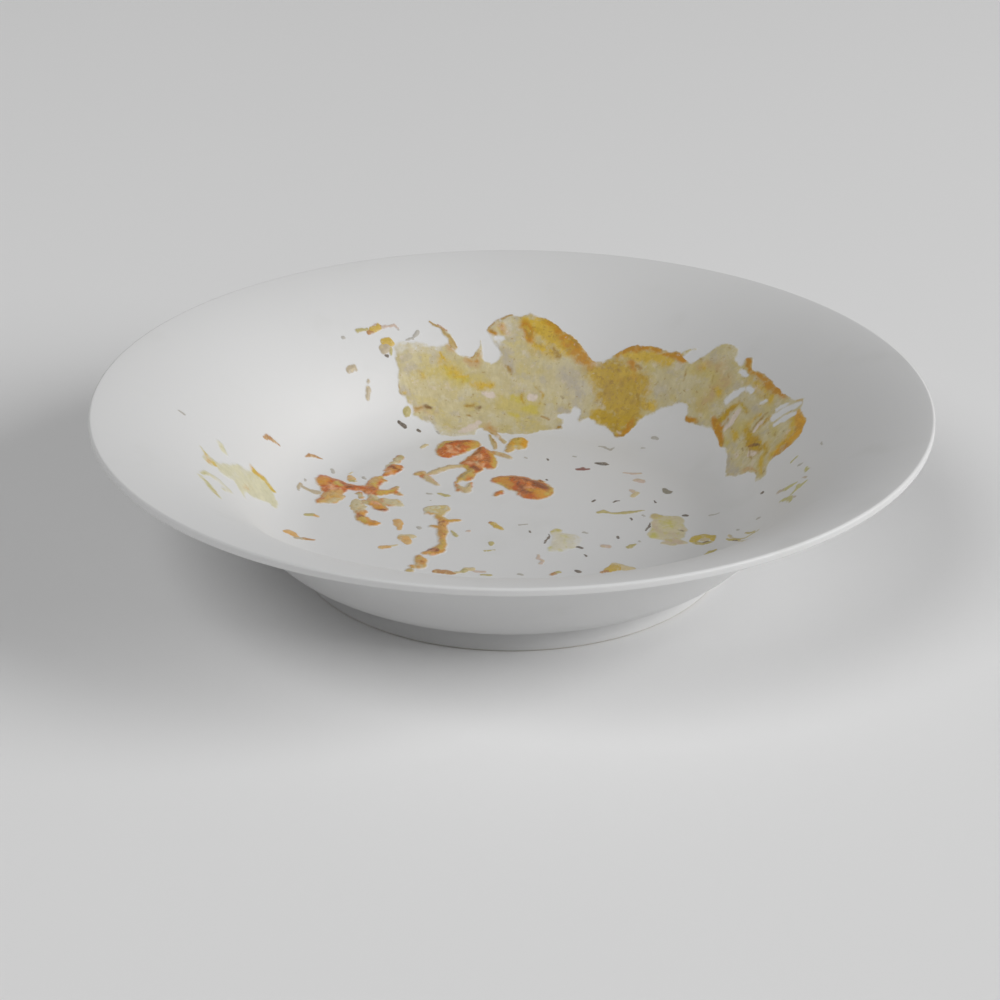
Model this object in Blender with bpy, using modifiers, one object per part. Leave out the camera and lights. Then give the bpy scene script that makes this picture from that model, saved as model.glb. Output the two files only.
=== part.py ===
"""Dirty dinner plate: a deep porcelain plate with a wide rim, and the dried sauce
and tomato left on it after a meal.

The frame is in metres with +Z up. The origin is the centre of the foot ring's
underside, so the plate stands on Z = 0 with its axis on Z. Azimuths are in
degrees, counted from +X towards +Y. The food lies as dry films that follow the
porcelain and as soft lumps on the floor of the well.
"""

import math

import bmesh
import bpy
import numpy as np
from mathutils import Matrix

MM = 0.001
MERGE_DISTANCE = 0.00001

# Plate: overall sizes.
RIM_RADIUS = 0.135
RIM_HEIGHT = 0.0563
FLOOR_TOP = 0.0112
FLAT_RADIUS = 0.0642

# Plate: points round each turn, along each large and small arc, and in the
# finer copy of the wall that the lumps are laid on.
TURN_STEPS = 64
INNER_STEPS = 6
OUTER_STEPS = 5
LIP_STEPS = 3
FILLET_STEPS = 2
RECESS_STEPS = 3
WALL_TABLE_STEPS = 24

# Plate: the inner wall sweeps up from the floor, runs straight and flattens to the rim.
INNER_COVE_RADIUS = 0.025
INNER_WALL_ANGLE = 52.5
RIM_ANGLE = 14.0
LIP_RADIUS = 0.0008
EDGE_BOTTOM = 0.0021
EDGE_FILLET = 0.0004

# Plate: underside and foot ring.
FOOT_RADIUS = 0.071
FOOT_HEIGHT = 0.0076
FOOT_WIDTH = 0.0042
FOOT_ROUNDING = 0.0008
FOOT_LEAN = 8.0
RECESS_HEIGHT = 0.0070
RECESS_FILLET = 0.0015
OUTER_COVE_RADIUS = 0.026
OUTER_START_ANGLE = 11.4
OUTER_WALL_ANGLE = 51.5
OUTER_RIM_ANGLE = 16.5

# Food: clearance to the porcelain, film thicknesses and how fine the lumps are.
GAP = 0.00035
FILM_REACH = 0.109
SMEAR_THICKNESS = 0.0011
PATCH_THICKNESS = 0.0008
CREAM_THICKNESS = 0.0006
LUMP_GRAIN = 0.0009
LUMP_FACE_SHARE = 0.30

# Food: a mound is a sphere cut below its middle, with a waved outline and top.
MOUND_SEGMENTS = 20
MOUND_RINGS = 12
MOUND_CUT = -0.12
MOUND_WAVES = ((3.0, 0.07), (5.0, 0.05))
MOUND_TOP_WAVE = (2.0, 0.12)

# Food: points round a patch, and the share of each wave in its edge.
PATCH_POINTS = 28
PATCH_WAVES = ((3.0, 0.6), (5.0, 0.4))
PATCH_WAVE_START = 0.7

# Main smear: its two edges as a radius in mm plus lobes (azimuth, height in mm, width).
SMEAR_START, SMEAR_END = 5.6, 117.8
SMEAR_STATIONS = 58
SMEAR_TIP_POWER = 24
SMEAR_OUTER = 97.2
SMEAR_OUTER_LOBES = (
    (99.0, -7.4, 4.2), (95.4, -5.6, 1.1), (87.6, 7.4, 9.1), (70.4, -6.1, 4.6),
    (42.0, 7.6, 3.5), (25.3, 4.5, 19.2),
)
SMEAR_INNER = 82.0
SMEAR_INNER_LOBES = (
    (18.0, -5.5, 4.2), (34.0, 2.5, 4.0), (51.0, 8.0, 9.0), (57.5, -13.0, 7.5),
    (87.0, -17.0, 12.0), (106.0, -12.0, 8.2),
)

# Flat patches: centre, length, width (mm), turn (degrees) and how wavy the edge is.
SAUCE_PATCH = ((-87.5, -1.0), 26.0, 10.5, 48.0, 0.13)
CREAM_PATCH_RIGHT = ((51.3, -7.2), 17.5, 12.5, 82.0, 0.10)
CREAM_PATCH_MIDDLE = ((16.2, -18.2), 17.0, 11.5, 98.0, 0.12)

# Tomato: each mound is (x, y, length, width, height in mm, turn in degrees).
TOMATO_LEFT = (
    (-20.0, 52.6, 14.0, 10.5, 3.0, 55.0), (-17.6, 56.6, 9.0, 9.0, 2.6, 20.0),
    (-22.6, 49.2, 8.0, 7.6, 2.4, 80.0),
)
TOMATO_MIDDLE = (
    (-10.7, 43.9, 14.5, 10.0, 3.0, 75.0), (-9.4, 49.6, 8.5, 5.0, 2.4, 100.0),
    (-13.0, 37.1, 8.5, 6.0, 2.2, 55.0), (-15.4, 30.8, 8.5, 4.4, 1.6, 70.0),
    (-18.6, 38.4, 10.0, 3.2, 1.4, 22.0), (-25.0, 34.0, 7.5, 2.8, 1.3, 35.0),
)
TOMATO_BEAN = (
    (8.6, 17.2, 11.5, 12.0, 3.2, 60.0), (4.2, 23.0, 13.0, 10.0, 3.4, -45.0),
    (-1.4, 26.8, 10.5, 7.0, 2.6, -18.0), (-4.4, 27.6, 5.0, 4.6, 2.0, 0.0),
)
TOMATO_CLUSTER = (
    (-61.8, 23.2, 11.0, 10.0, 2.6, 130.0), (-61.0, 14.6, 11.0, 8.6, 2.2, 80.0),
    (-54.4, 20.4, 10.0, 4.2, 2.1, -15.0), (-49.0, 18.0, 9.0, 8.0, 2.4, 20.0),
    (-45.6, 25.6, 13.0, 4.8, 2.1, 62.0), (-41.4, 34.2, 13.0, 6.2, 2.2, 70.0),
    (-39.3, 42.2, 10.0, 3.8, 1.6, 80.0), (-40.6, 18.0, 9.5, 4.2, 1.6, 6.0),
    (-47.6, 9.2, 12.0, 10.0, 2.2, 95.0), (-48.8, 1.4, 11.0, 5.0, 2.1, 106.0),
    (-46.4, -4.2, 7.5, 3.6, 1.8, -38.0),
)
TOMATO_STREAK = (
    (-22.0, -3.2, 6.0, 3.2, 1.6, 60.0), (-22.9, -8.4, 8.0, 3.8, 1.8, 95.0),
    (-22.3, -15.0, 8.5, 2.8, 1.5, 88.0), (-22.8, -21.6, 7.0, 3.2, 1.6, 75.0),
    (-25.2, -26.0, 5.6, 4.2, 1.8, 50.0),
)
ORANGE_BLOB = (
    (2.7, 56.6, 9.0, 6.2, 1.8, 86.0), (1.0, 52.0, 6.0, 3.6, 1.2, 70.0),
)

# Colours (linear red, green, blue) with the roughness of each material.
PORCELAIN = ((0.64, 0.64, 0.63), 0.16)
GOLDEN_SAUCE = ((0.55, 0.42, 0.17), 0.38)
PALE_SAUCE = ((0.61, 0.57, 0.40), 0.42)
CREAM_SAUCE = ((0.55, 0.51, 0.30), 0.42)
TOMATO_RED = ((0.50, 0.18, 0.06), 0.34)
ORANGE_OIL = ((0.54, 0.31, 0.07), 0.34)


def clear_scene():
    for obj in list(bpy.data.objects):
        bpy.data.objects.remove(obj, do_unlink=True)


def new_collection(name):
    collection = bpy.data.collections.new(name)
    bpy.context.scene.collection.children.link(collection)
    return collection


def principled(name, finish):
    color, roughness = finish
    material = bpy.data.materials.new(name)
    material.use_nodes = True
    shader = material.node_tree.nodes["Principled BSDF"]
    shader.inputs["Base Color"].default_value = (*color, 1.0)
    shader.inputs["Roughness"].default_value = roughness
    shader.inputs["Metallic"].default_value = 0.0
    return material


def put(name, mesh, collection, material=None):
    obj = bpy.data.objects.new(name, mesh)
    collection.objects.link(obj)
    if material:
        mesh.materials.append(material)
    return obj


def arc_from(start, heading, new_heading, radius, steps):
    """Points of an arc that leaves start on one heading and ends on another."""
    side = math.copysign(1.0, new_heading - heading)
    headings = np.radians(np.linspace(heading, new_heading, steps + 1))
    x = start[0] + side * radius * (np.sin(headings) - np.sin(headings[0]))
    z = start[1] + side * radius * (np.cos(headings[0]) - np.cos(headings))
    return list(zip(x[1:], z[1:]))


def wall_between(start, end, headings, cove_radius, steps):
    """A cove, a straight and a shoulder that join start to end.

    The straight's length and the shoulder's radius are the two unknowns that
    make the three pieces meet, so they come from two linear equations.
    """
    low, steep, high = (math.radians(h) for h in headings)
    across = end[0] - start[0] - cove_radius * (math.sin(steep) - math.sin(low))
    up = end[1] - start[1] - cove_radius * (math.cos(low) - math.cos(steep))
    system = np.array((
        (math.cos(steep), math.sin(steep) - math.sin(high)),
        (math.sin(steep), math.cos(high) - math.cos(steep)),
    ))
    straight, shoulder_radius = np.linalg.solve(system, (across, up))
    points = [start] + arc_from(start, headings[0], headings[1], cove_radius, steps)
    last = points[-1]
    corner = (last[0] + straight * math.cos(steep), last[1] + straight * math.sin(steep))
    points.append(corner)
    return points + arc_from(corner, headings[1], headings[2], shoulder_radius, steps)


def lip_start():
    """Where the rim's upper face ends and the rounded lip begins."""
    slope = math.radians(RIM_ANGLE)
    radius = RIM_RADIUS - LIP_RADIUS * (1.0 + math.sin(slope))
    height = RIM_HEIGHT - LIP_RADIUS * (1.0 - math.cos(slope))
    return radius, height


def inner_profile(steps=INNER_STEPS):
    """The face that food touches, from the flat floor's edge to the lip."""
    return wall_between(
        (FLAT_RADIUS, FLOOR_TOP), lip_start(), (0.0, INNER_WALL_ANGLE, RIM_ANGLE),
        INNER_COVE_RADIUS, steps,
    )


def plate_profile():
    """The plate's half section, over the rim and back under the foot to the axis."""
    profile = [(0.0, FLOOR_TOP)] + inner_profile()
    profile += arc_from(profile[-1], RIM_ANGLE, 0.0, LIP_RADIUS, 1)
    profile += arc_from(profile[-1], 0.0, -90.0, LIP_RADIUS, LIP_STEPS)
    edge_foot = (RIM_RADIUS, RIM_HEIGHT - EDGE_BOTTOM)
    profile.append(edge_foot)
    profile += arc_from(edge_foot, -90.0, OUTER_RIM_ANGLE - 180.0, EDGE_FILLET, FILLET_STEPS)
    underside = wall_between(
        (FOOT_RADIUS, FOOT_HEIGHT), profile[-1],
        (OUTER_START_ANGLE, OUTER_WALL_ANGLE, OUTER_RIM_ANGLE), OUTER_COVE_RADIUS, OUTER_STEPS,
    )
    profile += underside[-2::-1]
    foot_side = (FOOT_RADIUS, FOOT_ROUNDING)
    profile.append(foot_side)
    profile += arc_from(foot_side, -90.0, -180.0, FOOT_ROUNDING, FILLET_STEPS)
    foot_inside = (FOOT_RADIUS - FOOT_WIDTH + FOOT_ROUNDING, 0.0)
    profile.append(foot_inside)
    profile += arc_from(foot_inside, -180.0, -270.0 + FOOT_LEAN, FOOT_ROUNDING, FILLET_STEPS)
    turn = RECESS_FILLET * (1.0 - math.sin(math.radians(FOOT_LEAN)))
    rise = RECESS_HEIGHT - turn - profile[-1][1]
    profile.append((
        profile[-1][0] - rise * math.tan(math.radians(FOOT_LEAN)), RECESS_HEIGHT - turn,
    ))
    profile += arc_from(profile[-1], -270.0 + FOOT_LEAN, -180.0, RECESS_FILLET, RECESS_STEPS)
    profile.append((0.0, RECESS_HEIGHT))
    return profile


def turned(name, profile, collection, material):
    """A profile in the XZ plane turned once round Z."""
    edges = [(i, i + 1) for i in range(len(profile) - 1)]
    mesh = bpy.data.meshes.new(name)
    mesh.from_pydata([(r, 0.0, z) for r, z in profile], edges, [])
    obj = put(name, mesh, collection, material)
    screw = obj.modifiers.new("Turn", 'SCREW')
    screw.axis = 'Z'
    screw.angle = 2.0 * math.pi
    screw.screw_offset = 0.0
    screw.steps = TURN_STEPS
    screw.render_steps = TURN_STEPS
    screw.use_merge_vertices = True
    screw.merge_threshold = MERGE_DISTANCE
    screw.use_smooth_shade = True
    return obj


def surface_height(radius):
    """Height of the porcelain's upper face at a distance from the axis."""
    wall = np.array(inner_profile(WALL_TABLE_STEPS))
    return np.interp(radius, wall[:, 0], wall[:, 1])


def film_profile(thickness):
    """Half section of a film of even thickness that lies on the floor and the wall."""
    wall = np.array([(0.0, FLOOR_TOP)] + inner_profile())
    along = np.gradient(wall, axis=0)
    along /= np.linalg.norm(along, axis=1)[:, None]
    along[0] = (1.0, 0.0)
    inward = np.column_stack((-along[:, 1], along[:, 0]))
    near = wall[:, 0] < FILM_REACH
    upper = (wall + inward * (GAP + thickness))[near]
    lower = (wall + inward * GAP)[near]
    return [tuple(p) for p in upper] + [tuple(p) for p in lower[::-1]]


def prism(name, outline, collection):
    """A closed upright prism over a plan outline, taller than the plate."""
    curve = bpy.data.curves.new(name, 'CURVE')
    curve.dimensions = '2D'
    curve.fill_mode = 'BOTH'
    curve.extrude = RIM_HEIGHT
    spline = curve.splines.new('POLY')
    spline.points.add(len(outline) - 1)
    for point, (x, y) in zip(spline.points, outline):
        point.co = (x, y, 0.0, 1.0)
    spline.use_cyclic_u = True
    sketch = put(name + "_outline", curve, collection)
    bpy.context.view_layer.update()
    graph = bpy.context.evaluated_depsgraph_get()
    mesh = bpy.data.meshes.new_from_object(sketch.evaluated_get(graph))
    bpy.data.objects.remove(sketch, do_unlink=True)
    shape = bmesh.new()
    shape.from_mesh(mesh)
    bmesh.ops.remove_doubles(shape, verts=shape.verts, dist=MERGE_DISTANCE)
    bmesh.ops.recalc_face_normals(shape, faces=shape.faces)
    shape.to_mesh(mesh)
    shape.free()
    cutter = put(name, mesh, collection)
    cutter.hide_render = True
    cutter.display_type = 'WIRE'
    return cutter


def film(name, outline, thickness, collection, cutters, material):
    """A dry film: the part of a turned film that lies inside a plan outline."""
    obj = turned(name, film_profile(thickness), collection, material)
    cut = obj.modifiers.new("Outline", 'BOOLEAN')
    cut.operation = 'INTERSECT'
    cut.solver = 'EXACT'
    cut.object = prism(name + "_cutter", outline, cutters)
    return obj


def edge_radius(azimuth, base, lobes):
    """A radius in mm that swells or dips by a bell curve at each lobe."""
    radius = np.full_like(azimuth, base)
    for centre, height, width in lobes:
        radius += height * np.exp(-(((azimuth - centre) / width) ** 2))
    return radius


def smear_outline():
    """The long smear on the far wall, with both ends drawn in to a round tip."""
    azimuth = np.linspace(SMEAR_START, SMEAR_END, SMEAR_STATIONS)
    outer = edge_radius(azimuth, SMEAR_OUTER, SMEAR_OUTER_LOBES)
    inner = edge_radius(azimuth, SMEAR_INNER, SMEAR_INNER_LOBES)
    middle = (outer + inner) / 2.0
    half_span = (SMEAR_END - SMEAR_START) / 2.0
    from_middle = (azimuth - SMEAR_START) / half_span - 1.0
    half_width = (outer - inner) / 2.0 * np.sqrt(1.0 - np.abs(from_middle) ** SMEAR_TIP_POWER)
    radius = np.concatenate((middle + half_width, (middle - half_width)[-2:0:-1])) * MM
    angle = np.radians(np.concatenate((azimuth, azimuth[-2:0:-1])))
    return list(zip(radius * np.cos(angle), radius * np.sin(angle)))


def patch_outline(patch):
    """An ellipse with a gently wavy edge."""
    (x, y), length, width, turn, waviness = patch
    angle = np.linspace(0.0, 2.0 * math.pi, PATCH_POINTS, endpoint=False)
    swell = 1.0
    for (count, share), start in zip(PATCH_WAVES, (PATCH_WAVE_START, turn)):
        swell = swell + waviness * share * np.sin(count * angle + start)
    along = length / 2.0 * swell * np.cos(angle)
    across = width / 2.0 * swell * np.sin(angle)
    tilt = math.radians(turn)
    px = x + along * math.cos(tilt) - across * math.sin(tilt)
    py = y + along * math.sin(tilt) + across * math.cos(tilt)
    return list(zip(px * MM, py * MM))


def mound(name, size):
    """A low dome with a flat base and a slightly uneven skin, centred on x and y."""
    x, y, length, width, height, turn = size
    shape = bmesh.new()
    bmesh.ops.create_uvsphere(
        shape, u_segments=MOUND_SEGMENTS, v_segments=MOUND_RINGS, radius=1.0,
    )
    bmesh.ops.bisect_plane(
        shape, geom=shape.verts[:] + shape.edges[:] + shape.faces[:],
        plane_co=(0.0, 0.0, MOUND_CUT), plane_no=(0.0, 0.0, 1.0), clear_inner=True,
    )
    bmesh.ops.holes_fill(shape, edges=shape.edges[:], sides=0)
    tilt = math.radians(turn)
    top_count, top_share = MOUND_TOP_WAVE
    for vert in shape.verts:
        angle = math.atan2(vert.co.y, vert.co.x)
        swell = 1.0
        for (count, share), start in zip(MOUND_WAVES, (x, y)):
            swell += share * math.sin(count * angle + start)
        along = vert.co.x * length / 2.0 * swell
        across = vert.co.y * width / 2.0 * swell
        uneven = 1.0 + top_share * math.sin(top_count * along + y)
        vert.co.z = max(vert.co.z, 0.0) * height * uneven
        vert.co.x = x + along * math.cos(tilt) - across * math.sin(tilt)
        vert.co.y = y + along * math.sin(tilt) + across * math.cos(tilt)
    mesh = bpy.data.meshes.new(name)
    shape.to_mesh(mesh)
    shape.free()
    mesh.transform(Matrix.Scale(MM, 4))
    return mesh


def lump(name, mounds, collection, material):
    """Soft food: overlapping mounds run together, then laid on the porcelain."""
    joined = bmesh.new()
    for number, size in enumerate(mounds):
        dome = mound(f"{name}_{number}", size)
        joined.from_mesh(dome)
        bpy.data.meshes.remove(dome)
    rough = bpy.data.meshes.new(name + "_mounds")
    joined.to_mesh(rough)
    joined.free()
    sketch = put(name + "_mounds", rough, collection)
    melt = sketch.modifiers.new("Melt", 'REMESH')
    melt.mode = 'VOXEL'
    melt.voxel_size = LUMP_GRAIN
    thin = sketch.modifiers.new("Thin", 'DECIMATE')
    thin.ratio = LUMP_FACE_SHARE
    bpy.context.view_layer.update()
    graph = bpy.context.evaluated_depsgraph_get()
    mesh = bpy.data.meshes.new_from_object(sketch.evaluated_get(graph))
    bpy.data.objects.remove(sketch, do_unlink=True)
    mesh.name = name
    count = len(mesh.vertices)
    points = np.empty(count * 3)
    mesh.vertices.foreach_get("co", points)
    points = points.reshape(count, 3)
    points[:, 2] -= points[:, 2].min()
    points[:, 2] += surface_height(np.hypot(points[:, 0], points[:, 1])) + GAP
    mesh.vertices.foreach_set("co", points.ravel())
    mesh.update()
    mesh.shade_smooth()
    return put(name, mesh, collection, material)


def build_food(collection, cutters):
    golden = principled("golden_sauce", GOLDEN_SAUCE)
    pale = principled("pale_sauce", PALE_SAUCE)
    cream = principled("cream_sauce", CREAM_SAUCE)
    tomato = principled("tomato", TOMATO_RED)
    orange = principled("orange_oil", ORANGE_OIL)
    film("sauce_smear", smear_outline(), SMEAR_THICKNESS, collection, cutters, golden)
    film("sauce_patch", patch_outline(SAUCE_PATCH), PATCH_THICKNESS, collection, cutters, pale)
    for name, patch in (
        ("cream_patch_right", CREAM_PATCH_RIGHT),
        ("cream_patch_middle", CREAM_PATCH_MIDDLE),
    ):
        film(name, patch_outline(patch), CREAM_THICKNESS, collection, cutters, cream)
    for name, mounds, material in (
        ("tomato_left", TOMATO_LEFT, tomato),
        ("tomato_middle", TOMATO_MIDDLE, tomato),
        ("tomato_bean", TOMATO_BEAN, tomato),
        ("tomato_cluster", TOMATO_CLUSTER, tomato),
        ("tomato_streak", TOMATO_STREAK, tomato),
        ("orange_blob", ORANGE_BLOB, orange),
    ):
        lump(name, mounds, collection, material)


def build():
    clear_scene()
    collection = new_collection("dirty_dinner_plate")
    cutters = new_collection("cutters")
    turned("plate", plate_profile(), collection, principled("porcelain", PORCELAIN))
    build_food(collection, cutters)


build()
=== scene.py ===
import math

import bpy
import numpy as np
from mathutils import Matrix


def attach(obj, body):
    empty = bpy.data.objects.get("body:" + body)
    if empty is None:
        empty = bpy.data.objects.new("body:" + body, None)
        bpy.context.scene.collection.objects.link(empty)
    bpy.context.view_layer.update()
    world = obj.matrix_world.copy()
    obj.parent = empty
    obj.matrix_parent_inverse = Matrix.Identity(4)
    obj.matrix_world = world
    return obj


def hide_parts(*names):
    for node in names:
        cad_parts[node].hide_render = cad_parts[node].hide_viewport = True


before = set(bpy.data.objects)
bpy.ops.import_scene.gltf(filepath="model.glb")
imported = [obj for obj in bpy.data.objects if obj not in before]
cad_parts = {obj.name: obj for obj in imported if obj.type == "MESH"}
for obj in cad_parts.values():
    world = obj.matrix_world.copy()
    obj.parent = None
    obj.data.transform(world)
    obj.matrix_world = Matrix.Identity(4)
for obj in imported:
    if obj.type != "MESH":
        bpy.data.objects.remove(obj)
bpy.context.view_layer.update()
mm = 0.001


class Wire:
    # an output that can stand in a sum: wire * 0.4 + 0.1 adds the Math nodes
    def __init__(self, recipe, socket):
        self.recipe, self.socket = recipe, socket

    def maths(self, operation, first, second):
        return self.recipe.add('ShaderNodeMath', {'operation': operation}, {0: first, 1: second})

    def __add__(self, other):
        return self.maths('ADD', self, other)

    def __rsub__(self, other):
        return self.maths('SUBTRACT', other, self)

    def __mul__(self, other):
        return self.maths('MULTIPLY', self, other)

    __radd__ = __add__
    __rmul__ = __mul__


class Recipe:
    # the nodes of one material or of the world
    def __init__(self, tree):
        self.tree = tree

    def add(self, kind, settings=None, values=None, out=0):
        # one node: its settings first, then its sockets; the world's output node has no output of its own
        node = self.tree.nodes.new(kind)
        for name, value in (settings or {}).items():
            setattr(node, name, value)
        for name, value in (values or {}).items():
            self.feed(node.inputs[name], value)
        return Wire(self, node.outputs[out]) if len(node.outputs) else None

    def feed(self, socket, value):
        if isinstance(value, Wire):
            self.tree.links.new(value.socket, socket)
        elif isinstance(value, tuple) and len(value) == 3 and socket.type == 'RGBA':
            socket.default_value = (*value, 1.0)
        else:
            socket.default_value = value

    def tint(self, share, first, second):
        # first where share is 0, second where it is 1
        return self.add('ShaderNodeMix', {'data_type': 'RGBA'}, {0: share, 6: first, 7: second}, 2)

    def shade(self, color, light):
        # the colour times a grey level, which may be above 1
        grey = self.add('ShaderNodeCombineColor', None, {0: light, 1: light, 2: light})
        return self.add('ShaderNodeMix', {'data_type': 'RGBA', 'blend_type': 'MULTIPLY'},
                        {0: 1.0, 6: color, 7: grey}, 2)

    def band(self, value, low, high):
        # 0 below low, 1 above high, eased between
        return self.add('ShaderNodeMapRange', {'interpolation_type': 'SMOOTHSTEP'},
                        {0: value, 1: low, 2: high, 3: 0.0, 4: 1.0})

    def grain(self, place, size, detail=2.0, rough=0.5, layer=0.0):
        # cloudy noise whose features are about size metres across; each layer has its own pattern
        values = {'Vector': place, 'W': layer, 'Scale': 0.5 / size, 'Detail': detail, 'Roughness': rough}
        return self.add('ShaderNodeTexNoise', {'noise_dimensions': '4D'}, values)

    def place(self):
        return self.add('ShaderNodeTexCoord', out=3)

    def mark(self, name):
        return self.add('ShaderNodeAttribute', {'attribute_name': name}, out=2)

    def bump(self, height, depth):
        return self.add('ShaderNodeBump', None, {'Strength': 1.0, 'Distance': depth, 'Height': height})


def newFinish(name):
    material = bpy.data.materials.new(name)
    material.use_nodes = True
    return material, Recipe(material.node_tree), material.node_tree.nodes["Principled BSDF"]


def makePiece(name, points, faces, material, nodes=(), marks=None):
    # points and faces are plain arrays; marks are named values, one for each point
    mesh = bpy.data.meshes.new(name)
    mesh.from_pydata(points, [], faces)
    mesh.shade_smooth()
    for mark, values in (marks or {}).items():
        layer = mesh.attributes.new(mark, 'FLOAT', 'POINT')
        layer.data.foreach_set("value", values.astype(np.float32))
    mesh.materials.append(material)
    piece = bpy.data.objects.new(name, mesh)
    bpy.context.scene.collection.objects.link(piece)
    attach(piece, "root")
    if nodes:
        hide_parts(*nodes)


def arcFrom(start, heading, newHeading, radius, steps):
    # an arc from start: each point is the radius times the change in the heading's sine and cosine
    side = math.copysign(1.0, newHeading - heading)
    turn = np.radians(np.linspace(heading, newHeading, steps + 1)[1:])
    first = math.radians(heading)
    across = start[0] + side * radius * (np.sin(turn) - math.sin(first))
    up = start[1] + side * radius * (math.cos(first) - np.cos(turn))
    return np.column_stack((across, up))


def wallBetween(start, end, headings, coveRadius, steps):
    # cove, straight and shoulder: the straight's length and the shoulder's radius
    # are the two unknowns that make the three meet the end
    low, steep, high = np.radians(headings)
    rest = (end[0] - start[0] - coveRadius * (math.sin(steep) - math.sin(low)),
            end[1] - start[1] - coveRadius * (math.cos(low) - math.cos(steep)))
    straight, shoulder = np.linalg.solve(
        ((math.cos(steep), math.sin(steep) - math.sin(high)),
         (math.sin(steep), math.cos(high) - math.cos(steep))), rest)
    cove = arcFrom(start, headings[0], headings[1], coveRadius, steps)
    along = np.linspace(0.0, straight, steps // 2 + 1)[1:, None]
    run = cove[-1] + along * (math.cos(steep), math.sin(steep))
    return np.vstack(([start], cove, run, arcFrom(run[-1], headings[1], headings[2], shoulder, steps)))


plate = {                                        # lengths in mm, headings and slopes in degrees
    'rimRadius': 135.0, 'rimHeight': 56.3, 'floorTop': 11.2, 'flatRadius': 64.2,
    'innerCove': 25.0, 'innerWall': 52.5, 'rimSlope': 14.0,
    'lip': 0.8, 'edgeBottom': 2.1, 'edgeFillet': 0.4,
    'footRadius': 71.0, 'footHeight': 7.6, 'footWidth': 4.2, 'footRounding': 0.8, 'footLean': 8.0,
    'recess': 7.0, 'recessFillet': 1.5, 'recessRing': 40.0,
    'outerCove': 26.0, 'outerHeadings': (11.4, 51.5, 16.5),
    'around': 360, 'floorSteps': 5, 'innerSteps': 28, 'outerSteps': 24,
    'lipSteps': 12, 'edgeSteps': 5, 'filletSteps': 6,
    'glaze': (0.645, 0.645, 0.643), 'bisque': (0.60, 0.57, 0.52), 'grease': (0.60, 0.60, 0.585),
    'cloudSize': 30.0, 'cloudShade': 0.04,       # the glaze's own slight unevenness
    'washSize': 12.0, 'washBand': (0.56, 0.74), 'washShare': 0.35, 'washRough': 0.3,
    'gloss': 0.56, 'bareRough': 0.5, 'bareTop': (0.2, 0.9),
    'waveSize': 20.0, 'pitSize': 1.2, 'pitShare': 0.05, 'waveDepth': 0.25,
}

slope = math.radians(plate['rimSlope'])
lipStart = (plate['rimRadius'] - plate['lip'] * (1.0 + math.sin(slope)),
            plate['rimHeight'] - plate['lip'] * (1.0 - math.cos(slope)))
innerWall = wallBetween((plate['flatRadius'], plate['floorTop']), lipStart,
                        (0.0, plate['innerWall'], plate['rimSlope']),
                        plate['innerCove'], plate['innerSteps'])
wallRadius = np.concatenate(([0.0], innerWall[:, 0]))
wallHeight = np.concatenate(([plate['floorTop']], innerWall[:, 1]))
wallLean = np.arctan2(np.gradient(wallHeight), np.gradient(wallRadius))
wallLean[:2] = 0.0
wallLength = np.concatenate(([0.0], np.cumsum(np.hypot(np.diff(wallRadius), np.diff(wallHeight)))))


def onGlaze(x, y, lift):
    # the point lift mm off the glaze above (x, y), measured square to the surface, in metres
    radius = np.hypot(x, y)
    lean = np.interp(radius, wallRadius, wallLean)
    pull = 1.0 - lift * np.sin(lean) / np.maximum(radius, 1.0)
    height = np.interp(radius, wallRadius, wallHeight) + lift * np.cos(lean)
    return np.stack((x * pull, y * pull, height), -1) * mm


def plateProfile():
    # half section from the axis over the rim and back under the foot to the axis
    p = plate
    fillet, fromInside = p['filletSteps'], p['footLean'] - 270.0
    floor = np.linspace(0.0, p['flatRadius'], p['floorSteps'] + 1)[:-1]
    path = np.vstack(([(r, p['floorTop']) for r in floor], innerWall))
    path = np.vstack((path, arcFrom(path[-1], p['rimSlope'], -90.0, p['lip'], p['lipSteps'])))
    path = np.vstack((path, [(p['rimRadius'], p['rimHeight'] - p['edgeBottom'])]))
    inward = p['outerHeadings'][2] - 180.0
    path = np.vstack((path, arcFrom(path[-1], -90.0, inward, p['edgeFillet'], p['edgeSteps'])))
    under = wallBetween((p['footRadius'], p['footHeight']), path[-1],
                        p['outerHeadings'], p['outerCove'], p['outerSteps'])
    path = np.vstack((path, under[-2::-1], [(p['footRadius'], p['footRounding'])]))
    path = np.vstack((path, arcFrom(path[-1], -90.0, -180.0, p['footRounding'], fillet)))
    path = np.vstack((path, [(p['footRadius'] - p['footWidth'] + p['footRounding'], 0.0)]))
    path = np.vstack((path, arcFrom(path[-1], -180.0, fromInside, p['footRounding'], fillet)))
    lean = math.radians(p['footLean'])
    top = p['recess'] - p['recessFillet'] * (1.0 - math.sin(lean))
    path = np.vstack((path, [(path[-1][0] - (top - path[-1][1]) * math.tan(lean), top)]))
    path = np.vstack((path, arcFrom(path[-1], fromInside, -180.0, p['recessFillet'], fillet)))
    return np.vstack((path, [(p['recessRing'], p['recess']), (0.0, p['recess'])]))


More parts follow.
